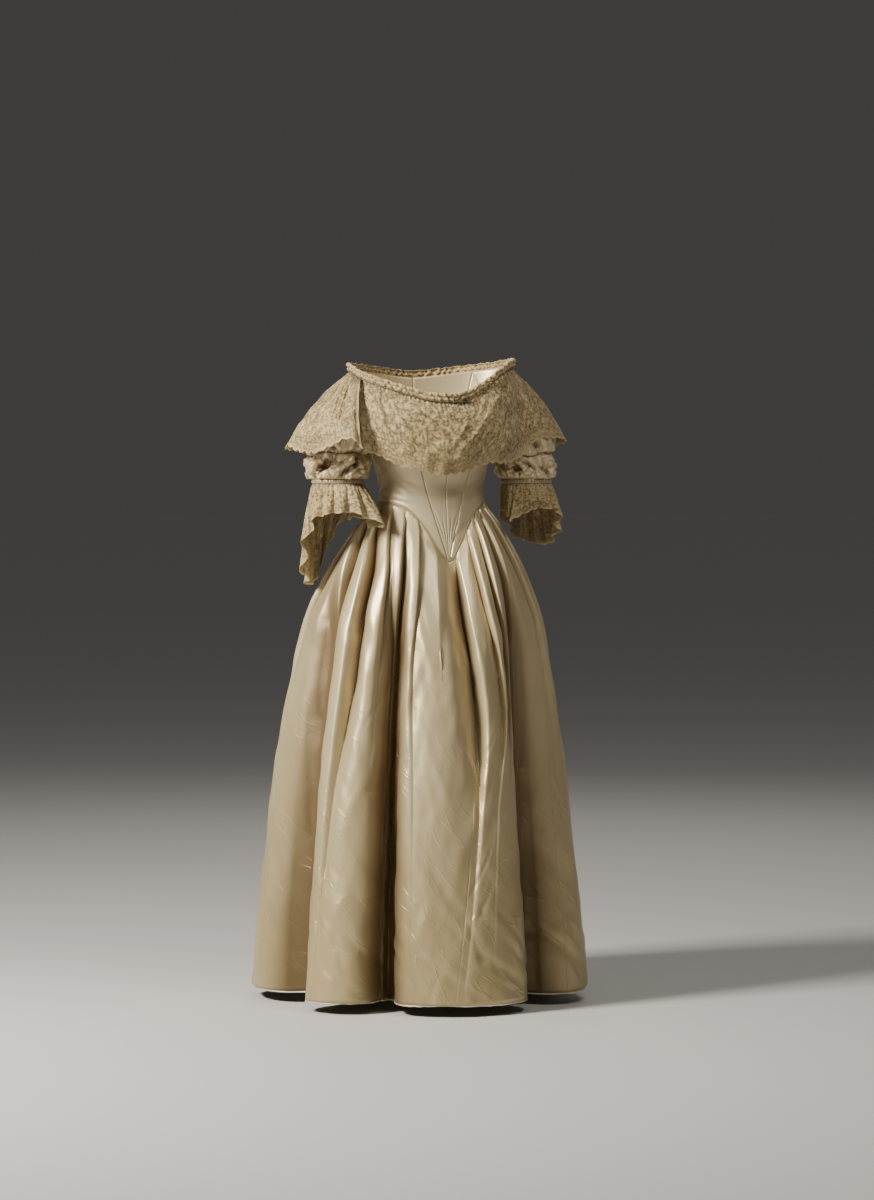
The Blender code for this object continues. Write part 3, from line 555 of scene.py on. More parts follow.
skirtSettings = {
    "hem": -0.920, "half": 0.322, "front": 0.318, "back": 0.335, "aside": -0.020,  # outline at the hem
    "riseAngle": 80.0, "riseSpread": 14.0, "rise": 0.090,  # where a flute turns under at the left back
    "round": 2.3, "floor": 0.21, "bulge": 3.0, "edge": 0.15, "overhang": 0.0058,  # of flutes and of pleats
    "sharpness": (1.25, 0.45), "opens": (0.06, 0.32), "swallowed": 0.75,  # pleats: power, and where they open
    "leanWidth": 0.16, "leanEnds": (0.14, 0.34), "leanRadius": 0.13, "shadeDepth": (0.009, 0.024),
    "radius": 0.30, "length": 0.92,  # turn degrees and shares of the drop into metres of cloth
    "wave": 0.010, "scattered": 150, "seamDip": 0.0002, "seamWidth": 0.0010, "shade": 0.95,
    "wall": 0.0012, "columns": 24, "rows": 132, "binding": 0.0034, "bindingGap": 0.0004,
    "seams": (-146.0, -108.0, 4.0, 56.0, 100.0, 156.0),
    "besideSeam": (0.012, 0.20, 0.45), "pastSeam": (0.20, 0.45), "clear": 0.62,  # columns, in degrees
}
growth = np.array([  # share of the drop, share of the growth in width
    (0.0, 0.0),
    (0.010, 0.030),
    (0.041, 0.134),
    (0.083, 0.250),
    (0.124, 0.356),
    (0.165, 0.442),
    (0.207, 0.521),
    (0.246, 0.580),
    (0.365, 0.684),
    (0.487, 0.772),
    (0.609, 0.840),
    (0.728, 0.890),
    (0.851, 0.955),
    (1.0, 1.0),
])
dome = np.array([(0, 0.60), (35, 0.72), (70, 0.93), (110, 1.12), (145, 1.12), (180, 1.08)])
pleatDrops = np.array([0.0, 0.02, 0.06, 0.15, 0.35, 0.60, 1.0])
# Pleat valleys: angle at the waist, at 0.15, 0.35 and 0.60 of the drop and at the hem, depth in mm at
# pleatDrops, and how widely a gap between two flutes opens (0 for a pleat that fades out).
pleats = np.array([
    (-168, -168, -169, -170, -170, 0.8, 5, 16, 30, 44, 58, 72, 1.2),
    (-153, -152, -153, -155, -156, 0.8, 6, 11, 12, 6, 0, 0, 0),
    (-139, -138, -139, -141, -142, 0.8, 5, 10, 9, 3, 0, 0, 0),
    (-124, -123, -125, -127, -128, 0.8, 5, 15, 30, 45, 58, 74, 1.2),
    (-110, -106, -110, -106, -104, 0.8, 6, 11, 14, 8, 0, 0, 0),
    (-95, -83, -77, -75, -71, 0.8, 5, 18, 38, 52, 66, 84, 1.9),
    (-78.5, -63, -59, -59, -58, 0.8, 7, 17, 38, 36, 12, 0, 0),
    (-61, -47.5, -46.5, -46, -46, 0.8, 7, 13, 14, 7, 0, 0, 0),
    (-44, -39, -39, -38, -36, 0.8, 7, 15, 32, 52, 64, 84, 1.1),
    (-28.5, -26, -25, -23, -22, 0.8, 7, 12, 11, 6, 2, 0, 0),
    (-10.5, -13, -11, -14, -17, 0.0, 0, 0, 0, 0, 0, 0, 0),
    (7.5, 7.6, 7.8, 3, -6, 0.8, 8, 21, 36, 36, 8, 0, 0),
    (22.5, 20, 20, 11, 4, 0.8, 7, 14, 18, 14, 2, 0, 0),
    (34.5, 28.5, 26.5, 19, 15, 0.8, 7, 13, 18, 17, 2, 0, 0),
    (44.5, 41, 36.5, 33, 33, 0.8, 7, 14, 22, 38, 58, 84, 1.2),
    (59, 57, 54, 50, 50, 0.8, 7, 12, 12, 7, 2, 0, 0),
    (74, 71, 71, 75, 79, 0.8, 5, 14, 26, 40, 52, 66, 1.2),
    (89, 87, 87, 91, 94, 0.8, 6, 11, 12, 6, 0, 0, 0),
    (103, 101, 101, 104, 106, 0.8, 6, 10, 10, 3, 0, 0, 0),
    (118, 117, 117, 118, 119, 0.8, 5, 15, 29, 44, 56, 72, 1.2),
    (133, 132, 132, 133, 133, 0.8, 6, 11, 13, 7, 0, 0, 0),
    (148, 148, 147, 148, 148, 0.8, 6, 10, 10, 4, 0, 0, 0),
    (163, 163, 162, 160, 159, 0.8, 5, 15, 29, 43, 56, 70, 1.2),
    (178, 178, 177, 176, 175, 0.8, 6, 11, 11, 5, 0, 0, 0),
])
# Creases: angle round the dress, share of the drop, length, lean in degrees from the
# vertical, width and depth in metres. The last column bends the crease.
creases = np.array([
    (-12, 0.93, 0.16, 52, 0.010, 0.0022, 1.0),
    (2, 0.90, 0.20, 48, 0.012, 0.0026, -1.2),
    (9, 0.96, 0.12, 58, 0.008, 0.0018, 0.5),
    (14, 0.84, 0.18, 40, 0.011, 0.0020, 1.5),
    (20, 0.92, 0.16, 50, 0.010, 0.0022, -0.8),
    (26, 0.80, 0.14, -30, 0.010, 0.0016, 0.8),
    (-6, 0.80, 0.22, 30, 0.013, 0.0018, 1.0),
    (-28, 0.92, 0.15, 46, 0.010, 0.0022, 0.8),
    (-33, 0.84, 0.20, 28, 0.012, 0.0020, -0.8),
    (-42, 0.90, 0.18, 42, 0.011, 0.0024, 1.0),
    (-50, 0.95, 0.12, 55, 0.009, 0.0020, 0.6),
    (-58, 0.86, 0.16, 25, 0.010, 0.0018, 0.9),
    (-86, 0.92, 0.15, -35, 0.010, 0.0020, 0.8),
    (-98, 0.86, 0.20, 30, 0.012, 0.0022, -1.0),
    (42, 0.90, 0.18, 44, 0.011, 0.0022, 1.0),
    (52, 0.94, 0.14, 50, 0.009, 0.0020, -0.6),
    (62, 0.86, 0.18, 32, 0.012, 0.0020, 0.8),
    (70, 0.93, 0.14, 46, 0.010, 0.0018, 0.6),
])


def wrapped(table):
    # A table of rows round the waist, repeated once to each side.
    turn = np.zeros(table.shape[1])
    turn[:5] = 360
    return np.concatenate([table - turn, table, table + turn])


def skirtPoints(waistAngle, drop):
    # The skirt by column of cloth, named by its angle at the waist, and share of the drop to the hem:
    # rings that grow from the waist's ellipse to the hem's, less the depth of the pleats and flutes.
    # It also gives each point's angle, and its painted shade, which is 1 deep in the folds.
    s = skirtSettings
    allPleats = wrapped(pleats)
    valley = smoothThrough((0.0, 0.15, 0.35, 0.60, 1.0), allPleats[:, :5].T, drop)
    angle = np.stack([smoothThrough(allPleats[:, 0], row, waistAngle) for row in valley], 1)
    depth = smoothThrough(pleatDrops, allPleats[:, 5:12].T, drop).T / 1000
    # small pleats: steep on the side away from centre front
    place = np.clip(np.searchsorted(allPleats[:, 0], waistAngle, side="right") - 1, 0, len(allPleats) - 2)
    share = (waistAngle - allPleats[place, 0]) / (allPleats[place + 1, 0] - allPleats[place, 0])
    forward = np.sin(np.radians(allPleats[place + 1, 0] - 3)) > 0
    near = np.where(forward, s["edge"], 1 - s["edge"])[:, None]
    share = share[:, None]
    power = s["sharpness"][0] + s["sharpness"][1] * smoothStep(0.04, 0.25, drop)[None, :]
    after = np.clip(1 - share / near, 0, 1) ** power
    before = np.clip(1 - (1 - share) / (1 - near), 0, 1) ** power
    opened = smoothStep(*s["opens"], drop)[None, :]  # main pleats open into the gaps between the flutes
    small = depth * np.where(allPleats[:, 12:] > 0, 1 - s["swallowed"] * opened, 1.0)
    fall = small[place] * after + small[place + 1] * before
    # large flutes: a rounded section between each two main valleys
    main = allPleats[allPleats[:, 12] > 0]
    mainDepth = depth[allPleats[:, 12] > 0] * opened
    mainValley = valley[:, allPleats[:, 12] > 0].T
    home = np.clip(np.searchsorted(main[:, 0], waistAngle, side="right") - 1, 0, len(main) - 2)
    part = np.clip((angle - mainValley[home]) / (mainValley[home + 1] - mainValley[home]), 0, 1)
    deep = mainDepth[home] * (1 - part) + mainDepth[home + 1] * part
    away = np.sin(np.radians(main[:, 0])) > 0
    part = part ** np.where(away, main[:, 12], 1.0)[home][:, None]
    part = 1 - (1 - part) ** np.where(away, 1.0, main[:, 12])[home + 1][:, None]
    flute = np.clip(np.abs(2 * part - 1) * (1 + s["floor"]), 0, 1)
    angle = angle - s["bulge"] * opened * np.sin(2 * np.pi * part) * flute**2
    fall = fall + deep * (1 - (1 - flute ** s["round"]) ** (1 / s["round"]))
    # the folded edge of a pleat leans over the valley that it covers
    lean = np.exp(-(((share - near) / s["leanWidth"]) ** 2)) * np.where(forward, -1, 1)[:, None]
    strength = smoothStep(0.0, 0.03, drop) * (1 - smoothStep(*s["leanEnds"], drop))
    reach = np.degrees(s["overhang"] / s["leanRadius"])
    angle = angle + reach * lean * strength[None, :]
    turn = np.radians(angle)
    top = (waistHeight(waistAngle) - waistSpace(waistAngle))[:, None]
    half, front, back = [size[:, None] for size in bodySizes(top[:, 0])]
    swell = smoothThrough(dome[:, 0], dome[:, 1], np.abs(around(angle)))
    grown = smoothThrough(growth[:, 0], growth[:, 1], drop)[None, :]
    grown = swell * grown + (1 - swell) * drop[None, :]
    behind = np.cos(turn) < 0
    start = np.where(behind, back, front)
    end = np.where(behind, s["back"], s["front"])
    wide = half + (s["half"] - half) * grown - fall
    deepest = start + (end - start) * grown - fall
    lift = np.exp(-(((around(angle) - s["riseAngle"]) / s["riseSpread"]) ** 2))
    height = top + (s["hem"] - top) * drop + s["rise"] * lift * drop**8
    x = wide * np.sin(turn) + s["aside"] * drop
    # painted shade: darker the deeper the cloth falls in, over a depth that grows down the skirt
    dark = s["shadeDepth"][0] + s["shadeDepth"][1] * smoothStep(0.0, 0.5, drop)[None, :]
    shade = 1 - np.exp(-((fall / dark) ** 2))
    return np.stack([x, -deepest * np.cos(turn), height + 0 * x], -1), angle, shade


def creaseField(across, down, table):
    # Sum of creases: each a trough with a soft ridge on both sides, fading at its ends. It lies on a
    # line through its middle, leaning, and bent by the square of the way along it.
    total = np.zeros_like(across)
    for middleAcross, middleDown, length, lean, width, depth, bend in table:
        dx = across - middleAcross
        dy = down - middleDown
        turn = math.radians(lean)
        along = dx * math.sin(turn) + dy * math.cos(turn)
        off = dx * math.cos(turn) - dy * math.sin(turn) + bend * along**2
        near = (off / width) ** 2
        total -= depth * (1 - 1.2 * near) * np.exp(-near) * np.exp(-((along / (0.5 * length)) ** 4))
    return total


def skirtRelief(angle, drop):
    # Soft unevenness of the cloth, moved along its normal: long slow waves down the flutes, the listed
    # creases, and shorter ones scattered at random, most of them near the hem.
    s = skirtSettings
    radius = s["radius"]
    across = np.radians(angle) * radius
    down = drop[None, :] * s["length"] + 0 * across
    random = np.random.default_rng(4)
    total = np.zeros_like(across)
    for size in (0.11, 0.07, 0.045, 0.030):
        phase = random.uniform(0, 6.28, 3)
        lean = random.uniform(-0.25, 0.25)
        bend = 1.5 * np.sin(down / 0.23 * 6.28 + phase[1])
        wave = np.sin((across + lean * down) / size * 6.28 + phase[0] + bend)
        total += s["wave"] * size * wave * np.sin(down / (3.1 * size) * 6.28 + phase[2] + across * 9)
    total *= smoothStep(0.02, 0.25, drop)[None, :]
    placed = creases.copy()
    placed[:, 0] = np.radians(creases[:, 0]) * radius
    placed[:, 1] = creases[:, 1] * s["length"]
    total += creaseField(across, down, placed)
    count = s["scattered"]
    scattered = np.stack(
        [
            random.uniform(-np.pi, np.pi, count) * radius,
            (1 - random.beta(1.1, 2.6, count)) * 0.90,
            random.uniform(0.05, 0.15, count),
            random.choice([-1, 1], count, p=[0.35, 0.65]) * random.uniform(15, 62, count),
            random.uniform(0.005, 0.009, count),
            random.uniform(0.0004, 0.0011, count),
            random.uniform(-1.5, 1.5, count),
        ],
        1,
    )
    total += creaseField((across + radius * np.pi) % (2 * radius * np.pi) - radius * np.pi, down, scattered)
    return total


def buildSkirt():
    # Six panels between seams, with columns closer together at the valleys and at the seams, and a
    # narrow uneven binding that hangs from the last row of all six.
    s = skirtSettings
    starts = pleats[:, 0]
    widths = np.diff(np.append(starts, starts[0] + 360))
    step = np.linspace(0, 1, s["columns"] + 1)[:-1]
    step = step - 0.55 * np.sin(2 * np.pi * step) / (2 * np.pi)
    columns = (starts[:, None] + widths[:, None] * step).reshape(-1)
    every = np.sort(np.concatenate([columns - 360, columns, columns + 360]))
    drop = np.linspace(0, 1, s["rows"]) ** 1.12
    seams = np.array(s["seams"])
    ends = np.append(seams[1:], seams[0] + 360)
    edges = np.array(s["besideSeam"])
    past = np.array(s["pastSeam"])  # columns beyond each seam, used for the slope there and then left off
    ring = []
    panels = []
    for number, (start, end) in enumerate(zip(seams, ends), 1):
        inside = every[(every > start + s["clear"]) & (every < end - s["clear"])]
        first = np.concatenate([start - past[::-1], start + edges])
        last = np.concatenate([end - edges[::-1], end + past])
        waistAngle = np.concatenate([first, inside, last])
        points, angle, shade = skirtPoints(waistAngle, drop)
        relief = skirtRelief(angle, drop)
        seam = np.minimum(waistAngle - start, end - waistAngle)[:, None] * 0.0046  # metres from the seam
        relief = relief - s["seamDip"] * np.exp(-((seam / s["seamWidth"]) ** 2))
        points = (points + outwards(points) * relief[..., None])[2:-2]
        # painted shade in the valleys and pleats, carried by the mesh for the satin's colour
        shades = {"fold": s["shade"] * shade[2:-2]}
        name = "skirtPanel" + str(number)
        panels.append(clothMesh(name, points, skirtSatin, wall=s["wall"], shades=shades))
        ring.append(points[:, -2:])
    edge = np.concatenate([*ring, ring[0][:1]])
    down = edge[:, 1] - edge[:, 0]
    down = down / np.linalg.norm(down, axis=1, keepdims=True)
    place = np.linspace(0, 2 * np.pi, len(edge))
    showing = 0.56 + 0.30 * np.sin(7 * place + 1.0) + 0.14 * np.sin(31 * place + 2 * np.sin(9 * place))
    start = edge[:, 1] + down * s["bindingGap"]
    finish = start + down * (s["binding"] * showing)[:, None]
    share = np.linspace(0, 1, 4)[None, :, None]
    tape = start[:, None] * (1 - share) + finish[:, None] * share
    hem = clothMesh("hemBinding", tape, bindingSatin, closed=True, wall=s["wall"])
    stands(hem, "hem_binding")
    for number, panel in enumerate(panels, 1):
        declare(panel, "skirt_panel_" + str(number))


buildSkirt()
print("stage: skirt")

bodiceSettings = {
    "wall": 0.0012, "rows": 74, "gap": 0.00015, "seamDip": 0.0005, "seamWidth": 0.0012,
    "pucker": 0.00022, "puckerLength": 0.0085, "puckerWidth": 0.006,  # small gathers along each seam
}
bodiceCreases = {  # by piece: share across, height, length, lean from the vertical, width, depth, bend
    "front_centre": [
        (0.30, -0.070, 0.070, 4, 0.0040, 0.0010, 0.0),
        (0.72, -0.045, 0.060, 14, 0.0045, 0.0008, 0.0),
        (0.55, 0.010, 0.060, 70, 0.0080, 0.0005, 0.0),
    ],
    "front_side": [
        (0.30, 0.020, 0.090, 62, 0.0070, 0.0010, 2.0),
        (0.42, 0.045, 0.080, 66, 0.0070, 0.0009, 2.0),
        (0.55, 0.000, 0.070, 74, 0.0060, 0.0009, 2.0),
        (0.75, 0.030, 0.060, -70, 0.0070, 0.0008, -2.0),
        (0.80, 0.060, 0.060, -66, 0.0080, 0.0008, -2.0),
        (0.10, -0.050, 0.060, 30, 0.0050, 0.0009, 0.0),
    ],
    "side_back": [
        (0.25, 0.025, 0.060, 72, 0.0070, 0.0009, 2.0),
        (0.55, 0.060, 0.070, 64, 0.0080, 0.0008, 2.0),
        (0.80, 0.030, 0.060, 60, 0.0070, 0.0008, 0.0),
    ],
    "back": [
        (0.40, 0.020, 0.060, 66, 0.0070, 0.0009, 0.0),
        (0.60, 0.080, 0.070, 58, 0.0080, 0.0007, 0.0),
    ],
}


def bodicePanel(label, word, side, inner, outer, columns):
    # A panel between two seams that are functions of height: rows from the waist seam to its top edge,
    # on the body's surface, with a dip and small gathers at its seams and listed creases.
    s = bodiceSettings
    across = np.linspace(0, 1, columns)
    gap = math.degrees(s["gap"] / 0.09)

    def angleAt(height):
        low = inner(height) + gap
        high = outer(height) - gap
        return side * (low + (high - low) * across)

    below = np.full(columns, -0.13)
    bottom = np.full(columns, 0.08)
    for _ in range(40):  # halving: the height where each column meets the waist seam
        middle = (below + bottom) / 2
        angle = angleAt(middle)
        under = middle < waistHeight(angle) + waistSpace(angle)
        below = np.where(under, middle, below)
        bottom = np.where(under, bottom, middle)
    top = bodiceTop(angleAt(np.full(columns, 0.2)))
    for _ in range(12):
        top = bodiceTop(angleAt(top))
    share = np.linspace(0, 1, s["rows"])
    height = bottom[:, None] + (top - bottom)[:, None] * share[None, :]
    angle = np.stack([angleAt(height[:, row]) for row in range(s["rows"])], 1)
    points = bodyPoint(angle, height)
    low = side * inner(height)
    high = side * outer(height)
    reach = (0.1 * np.radians(np.abs(high - low))).mean()
    toSeam = 0.1 * np.radians(np.minimum(np.abs(angle - low), np.abs(high - angle)))
    relief = -s["seamDip"] * np.exp(-((toSeam / s["seamWidth"]) ** 2))
    pucker = np.sin(height / s["puckerLength"] * 6.28 + 2 * np.sin(height * 90))
    relief += s["pucker"] * pucker * np.exp(-((toSeam / s["puckerWidth"]) ** 2))
    placed = np.array(bodiceCreases[label])
    placed[:, 0] *= reach
    relief += creaseField(across[:, None] * reach + 0 * height, height, placed)
    relief *= smoothStep(0.0, 0.06, share)[None, :]
    points = points + outwards(points) * relief[..., None]
    node = label + "_" + word
    piece = clothMesh(pieceName(node), points, bodiceSatin, wall=s["wall"])
    declare(piece, node)


def shoulderStrap(word, side):
    # Under the collar: a band between the neckline and the top of the armhole.
    along = np.linspace(0, 1, 44)[:, None]
    across = np.linspace(0, 1, 10)[None, :]
    atNeck = armhole["strap"] + (180 - 2 * armhole["strap"]) * along
    atArm = 90 + armhole["half"] * (2 * along - 1)
    armHeight = armhole["ends"] + armhole["rise"] * np.sin(np.pi * along)
    height = neckHeight(side * atNeck) * (1 - across) + armHeight * across
    points = bodyPoint(side * (atNeck * (1 - across) + atArm * across), height)
    piece = clothMesh("shoulderStrap" + word.title(), points, bodiceSatin, wall=bodiceSettings["wall"])
    declare(piece, "shoulder_strap_" + word)


def buildBodice():
    def centre(height):
        return 0 * height

    def dart(height):
        return smoothThrough(seamTable[:, 0], seamTable[:, 1], height)

    def sideSeam(height):
        return 90.0 + 0 * height

    def backSeam(height):
        return smoothThrough(seamTable[:, 0], seamTable[:, 2], height)

    def centreBack(height):
        return 180.0 + 0 * height

    for word, side, strapArea in (("left", 1, 0.0066), ("right", -1, 0.0041)):  # the left neckline is higher
        bodicePanel("front_centre", word, side, centre, dart, 26)
        bodicePanel("front_side", word, side, dart, sideSeam, 46)
        bodicePanel("side_back", word, side, sideSeam, backSeam, 34)
        bodicePanel("back", word, side, backSeam, centreBack, 26)
        shoulderStrap(word, side)


pipingSettings = {"sunk": -0.0004, "radius": 0.00075, "lobe": 0.00085, "fold": 0.45}


def buildPiping():
    # Two fine covered cords side by side, as one profile of two lobes carried along the waist seam.
    s = pipingSettings
    angle = np.linspace(-180, 180, 541)[:-1]
    line = bodyPoint(angle, waistHeight(angle), s["sunk"])
    turn = np.linspace(0, 2 * np.pi, 15)
    radius = s["radius"] + s["lobe"] * np.abs(np.sin(turn))
    profile = np.stack([radius * np.cos(turn), radius * np.sin(turn)], -1)[None]
    points = sweptTube(line, profile)
    # painted shade: the whole piping darkened by a constant, so that the seam reads as a dark double line
    piece = clothMesh("waistPiping", points, bodiceSatin, shades={"fold": s["fold"] + 0 * points[..., 0]})
    joined(piece)
    stands(piece, "waist_piping")


def joined(piece, *others):
    # Makes one closed mesh of swept tubes: where the last ring repeats the first, or a ring has shrunk
    # to a point, the doubles are merged.
    work = bmesh.new()
    for part in (piece, *others):
        work.from_mesh(part.data)
    bmesh.ops.remove_doubles(work, verts=work.verts, dist=1e-6)
    bmesh.ops.recalc_face_normals(work, faces=work.faces)
    work.to_mesh(piece.data)
    work.free()
    piece.data.shade_smooth()
    for part in others:
        bpy.data.meshes.remove(part.data)


buildBodice()
buildPiping()
print("stage: bodice")

laceSettings = {
    "wall": 0.0005, "repeat": 0.036, "size": 0.78, "raised": 0.0003, "border": 0.019, "scallop": 0.017,
    "reach": 0.016, "eyelet": 0.0085, "fan": 0.0055, "edge": (0.0012, 0.0030),
}
# One repeat of the ground: kind, share of the repeat across, share of the depth, size, and turn, which
# is in degrees for a leaf and in radians for a rose.
laceChart = (
    ("rose", 0.22, 0.16, 0.0105, 10),
    ("rose", 0.74, 0.33, 0.0090, 40),
    ("rose", 0.24, 0.52, 0.0110, 25),
    ("rose", 0.76, 0.68, 0.0085, 0),
    ("leaf", 0.50, 0.14, 0.0100, 62),
    ("leaf", 0.58, 0.20, 0.0090, 8),
    ("leaf", 0.95, 0.18, 0.0095, -55),
    ("leaf", 0.02, 0.33, 0.0100, 30),
    ("leaf", 0.46, 0.36, 0.0095, -40),
    ("leaf", 0.52, 0.50, 0.0105, 68),
    ("leaf", 0.98, 0.50, 0.0095, -18),
    ("leaf", 0.94, 0.60, 0.0085, 50),
    ("leaf", 0.50, 0.66, 0.0095, -66),
    ("leaf", 0.06, 0.70, 0.0095, 35),
    ("leaf", 0.40, 0.74, 0.0080, -20),
    ("leaf", 0.30, 0.33, 0.0075, 80),
    ("leaf", 0.76, 0.08, 0.0080, 84),
    ("leaf", 0.06, 0.04, 0.0080, 20),
    ("leaf", 0.76, 0.52, 0.0075, 88),
)


def roseHeight(dx, dy, size, lean):
    # Six petals round an open eye with a raised rim.
    away = np.hypot(dx, dy)
    petals = np.cos(6 * (np.arctan2(dy, dx) + lean))
    shape = smoothStep(0, 0.28, 1 - away / (size * (0.76 + 0.24 * petals))) * (0.72 + 0.28 * petals)
    shape = shape * smoothStep(0.10, 0.24, away / size)
    return np.maximum(shape, np.exp(-(((away - 0.24 * size) / 0.0009) ** 2)))


def leafHeight(dx, dy, size, lean):
    # A pointed oval with a vein, on a curved stem.
    along = (dx * math.cos(lean) + dy * math.sin(lean)) / size
    off = (-dx * math.sin(lean) + dy * math.cos(lean)) / size
    shape = smoothStep(0, 0.22, 0.42 * np.clip(1 - along**2, 0, 1) - np.abs(off))
    shape = shape * (0.70 + 0.30 * smoothStep(0.02, 0.12, np.abs(off)))
    stem = np.exp(-(((off - 0.30 * along**2) / 0.11) ** 2)) * (np.abs(along) < 1.6)
    return np.maximum(shape, 0.7 * stem)


def laceMotifs(u, v, depth, phase):
    # Height of the raised work, 0 to 1, by distance along the lace and from its upper edge: the chart
    # repeated along the lace and mirrored every other time, and a border of eyelets in fans.
    s = laceSettings
    total = np.zeros_like(u)
    for number in range(-1, int(u.max() / s["repeat"]) + 2):
        flip = 1 if number % 2 else -1
        shift = 0.16 * math.sin(number * 2.3 + phase)
        for kind, across, down, size, lean in laceChart:
            x = (number + 0.5 + flip * (across - 0.5)) * s["repeat"]
            y = (down + 0.05 * math.sin(number * 3.7 + across * 9)) * (depth - s["border"]) / 0.80
            near = (np.abs(u - x) < s["reach"]) & (np.abs(v - y) < s["reach"])
            if not near.any():
                continue
            if kind == "rose":
                shape = roseHeight(u[near] - x, v[near] - y, size * s["size"], lean + shift)
            else:
                turned = math.radians(flip * lean) + shift
                shape = leafHeight(u[near] - x, v[near] - y, size * s["size"], turned)
            total[near] = np.maximum(total[near], shape)
    toEdge = depth - v
    fan = u / s["scallop"]
    ring = np.hypot((fan - np.floor(fan) - 0.5) * s["scallop"], toEdge - s["eyelet"])
    work = 0.7 * np.exp(-(((ring - s["fan"]) / 0.0013) ** 2)) + 0.7 * np.exp(-((ring / 0.0016) ** 2))
    total = np.where(toEdge < s["border"], np.maximum(0.6 * total, work), total)
    total = np.maximum(total, 1 - smoothStep(*s["edge"], toEdge))
    return np.clip(total, 0, 1)


collarSettings = {
    "stand": 0.0019, "below": 0.004, "waves": 28, "fanDepth": 0.0042, "depth": 0.135,  # the chart's depth
    "tuck": 0.0007, "tuckLength": 0.0075, "slack": 0.0012, "roll": 0.0042, "rollWidth": 0.0065, "phase": 0.4,
}
collarFolds = {  # by side: run along the lower edge, depth from the neck, length, lean, width, depth, bend
    "left": [
        (0.135, 0.048, 0.080, 48, 0.0085, -0.0038, 1.5),
        (0.060, 0.050, 0.090, 14, 0.0080, 0.0034, 0.0),
        (0.088, 0.060, 0.080, 24, 0.0070, -0.0026, -1.0),
        (0.185, 0.070, 0.070, -36, 0.0080, -0.0020, 1.0),
        (0.232, 0.060, 0.090, -52, 0.0090, -0.0030, -1.2),
        (0.275, 0.050, 0.090, -40, 0.0080, 0.0028, 0.8),
        (0.420, 0.070, 0.110, 8, 0.0100, -0.0036, 0.0),
        (0.520, 0.070, 0.100, -10, 0.0110, -0.0032, 0.0),
        (0.700, 0.070, 0.110, 6, 0.0110, -0.0034, 0.0),
        (0.820, 0.065, 0.100, -6, 0.0100, -0.0028, 0.0),
    ],
    "right": [
        (0.090, 0.065, 0.100, 6, 0.0100, -0.0028, 0.0),
        (0.190, 0.070, 0.110, -8, 0.0110, -0.0034, 0.0),
        (0.300, 0.070, 0.100, 8, 0.0100, -0.0032, 0.0),
        (0.395, 0.075, 0.110, -5, 0.0090, -0.0030, 0.0),
        (0.455, 0.070, 0.120, 3, 0.0070, 0.0036, 0.0),
        (0.480, 0.080, 0.110, 2, 0.0060, -0.0034, 0.0),
    ],
}
collarLeft = np.array([  # hung angle, lower edge x, y, z, bulge, waves
    (-77, -0.161, -0.088, 0.094, 0.018, 0.0),
    (-62, -0.139, -0.105, 0.085, 0.026, 0.0006),
    (-45, -0.103, -0.122, 0.066, 0.034, 0.0010),
    (-32, -0.075, -0.131, 0.060, 0.038, 0.0010),
    (-20, -0.047, -0.135, 0.053, 0.038, 0.0010),
    (-8, -0.022, -0.137, 0.050, 0.038, 0.0010),
    (4, 0.011, -0.136, 0.054, 0.038, 0.0010),
    (18, 0.048, -0.131, 0.066, 0.037, 0.0010),
    (32, 0.083, -0.122, 0.0735, 0.034, 0.0010),
    (46, 0.108, -0.111, 0.072, 0.028, 0.0006),
    (56, 0.128, -0.099, 0.076, 0.018, 0.0),
    (64, 0.147, -0.084, 0.082, 0.008, 0.0),
    (71, 0.167, -0.070, 0.092, 0.004, 0.0),
    (77, 0.187, -0.062, 0.114, 0.006, 0.0),
    (82, 0.211, -0.055, 0.120, 0.012, 0.0020),
    (86, 0.240, -0.041, 0.120, 0.017, 0.0020),
    (90, 0.270, -0.012, 0.117, 0.020, 0.0015),
    (95, 0.279, 0.012, 0.112, 0.020, 0.0015),
    (102, 0.268, 0.040, 0.104, 0.020, 0.0035),
    (113, 0.240, 0.074, 0.096, 0.018, 0.0035),
    (130, 0.184, 0.106, 0.088, 0.016, 0.0035),
    (152, 0.108, 0.124, 0.082, 0.014, 0.0030),
    (179.85, 0.0003, 0.132, 0.078, 0.014, 0.0030),
])
collarRight = np.array([  # the same columns
    (180.15, -0.0003, 0.132, 0.078, 0.014, 0.0030),
    (208, -0.108, 0.124, 0.082, 0.014, 0.0030),
    (230, -0.186, 0.106, 0.088, 0.016, 0.0035),
    (246, -0.246, 0.072, 0.094, 0.018, 0.0035),
    (256, -0.280, 0.030, 0.101, 0.020, 0.0030),
    (262, -0.289, -0.008, 0.106, 0.020, 0.0015),
    (267, -0.280, -0.045, 0.094, 0.020, 0.0015),
    (270, -0.258, -0.075, 0.091, 0.020, 0.0020),
    (273, -0.239, -0.095, 0.102, 0.020, 0.0015),
    (276, -0.226, -0.106, 0.110, 0.020, 0.0),
    (278.5, -0.214, -0.113, 0.116, 0.020, 0.0),
    (281.5, -0.202, -0.119, 0.117, 0.022, 0.0),
    (284, -0.191, -0.124, 0.112, 0.024, 0.0),
    (286, -0.184, -0.124, 0.097, 0.024, 0.0),
])


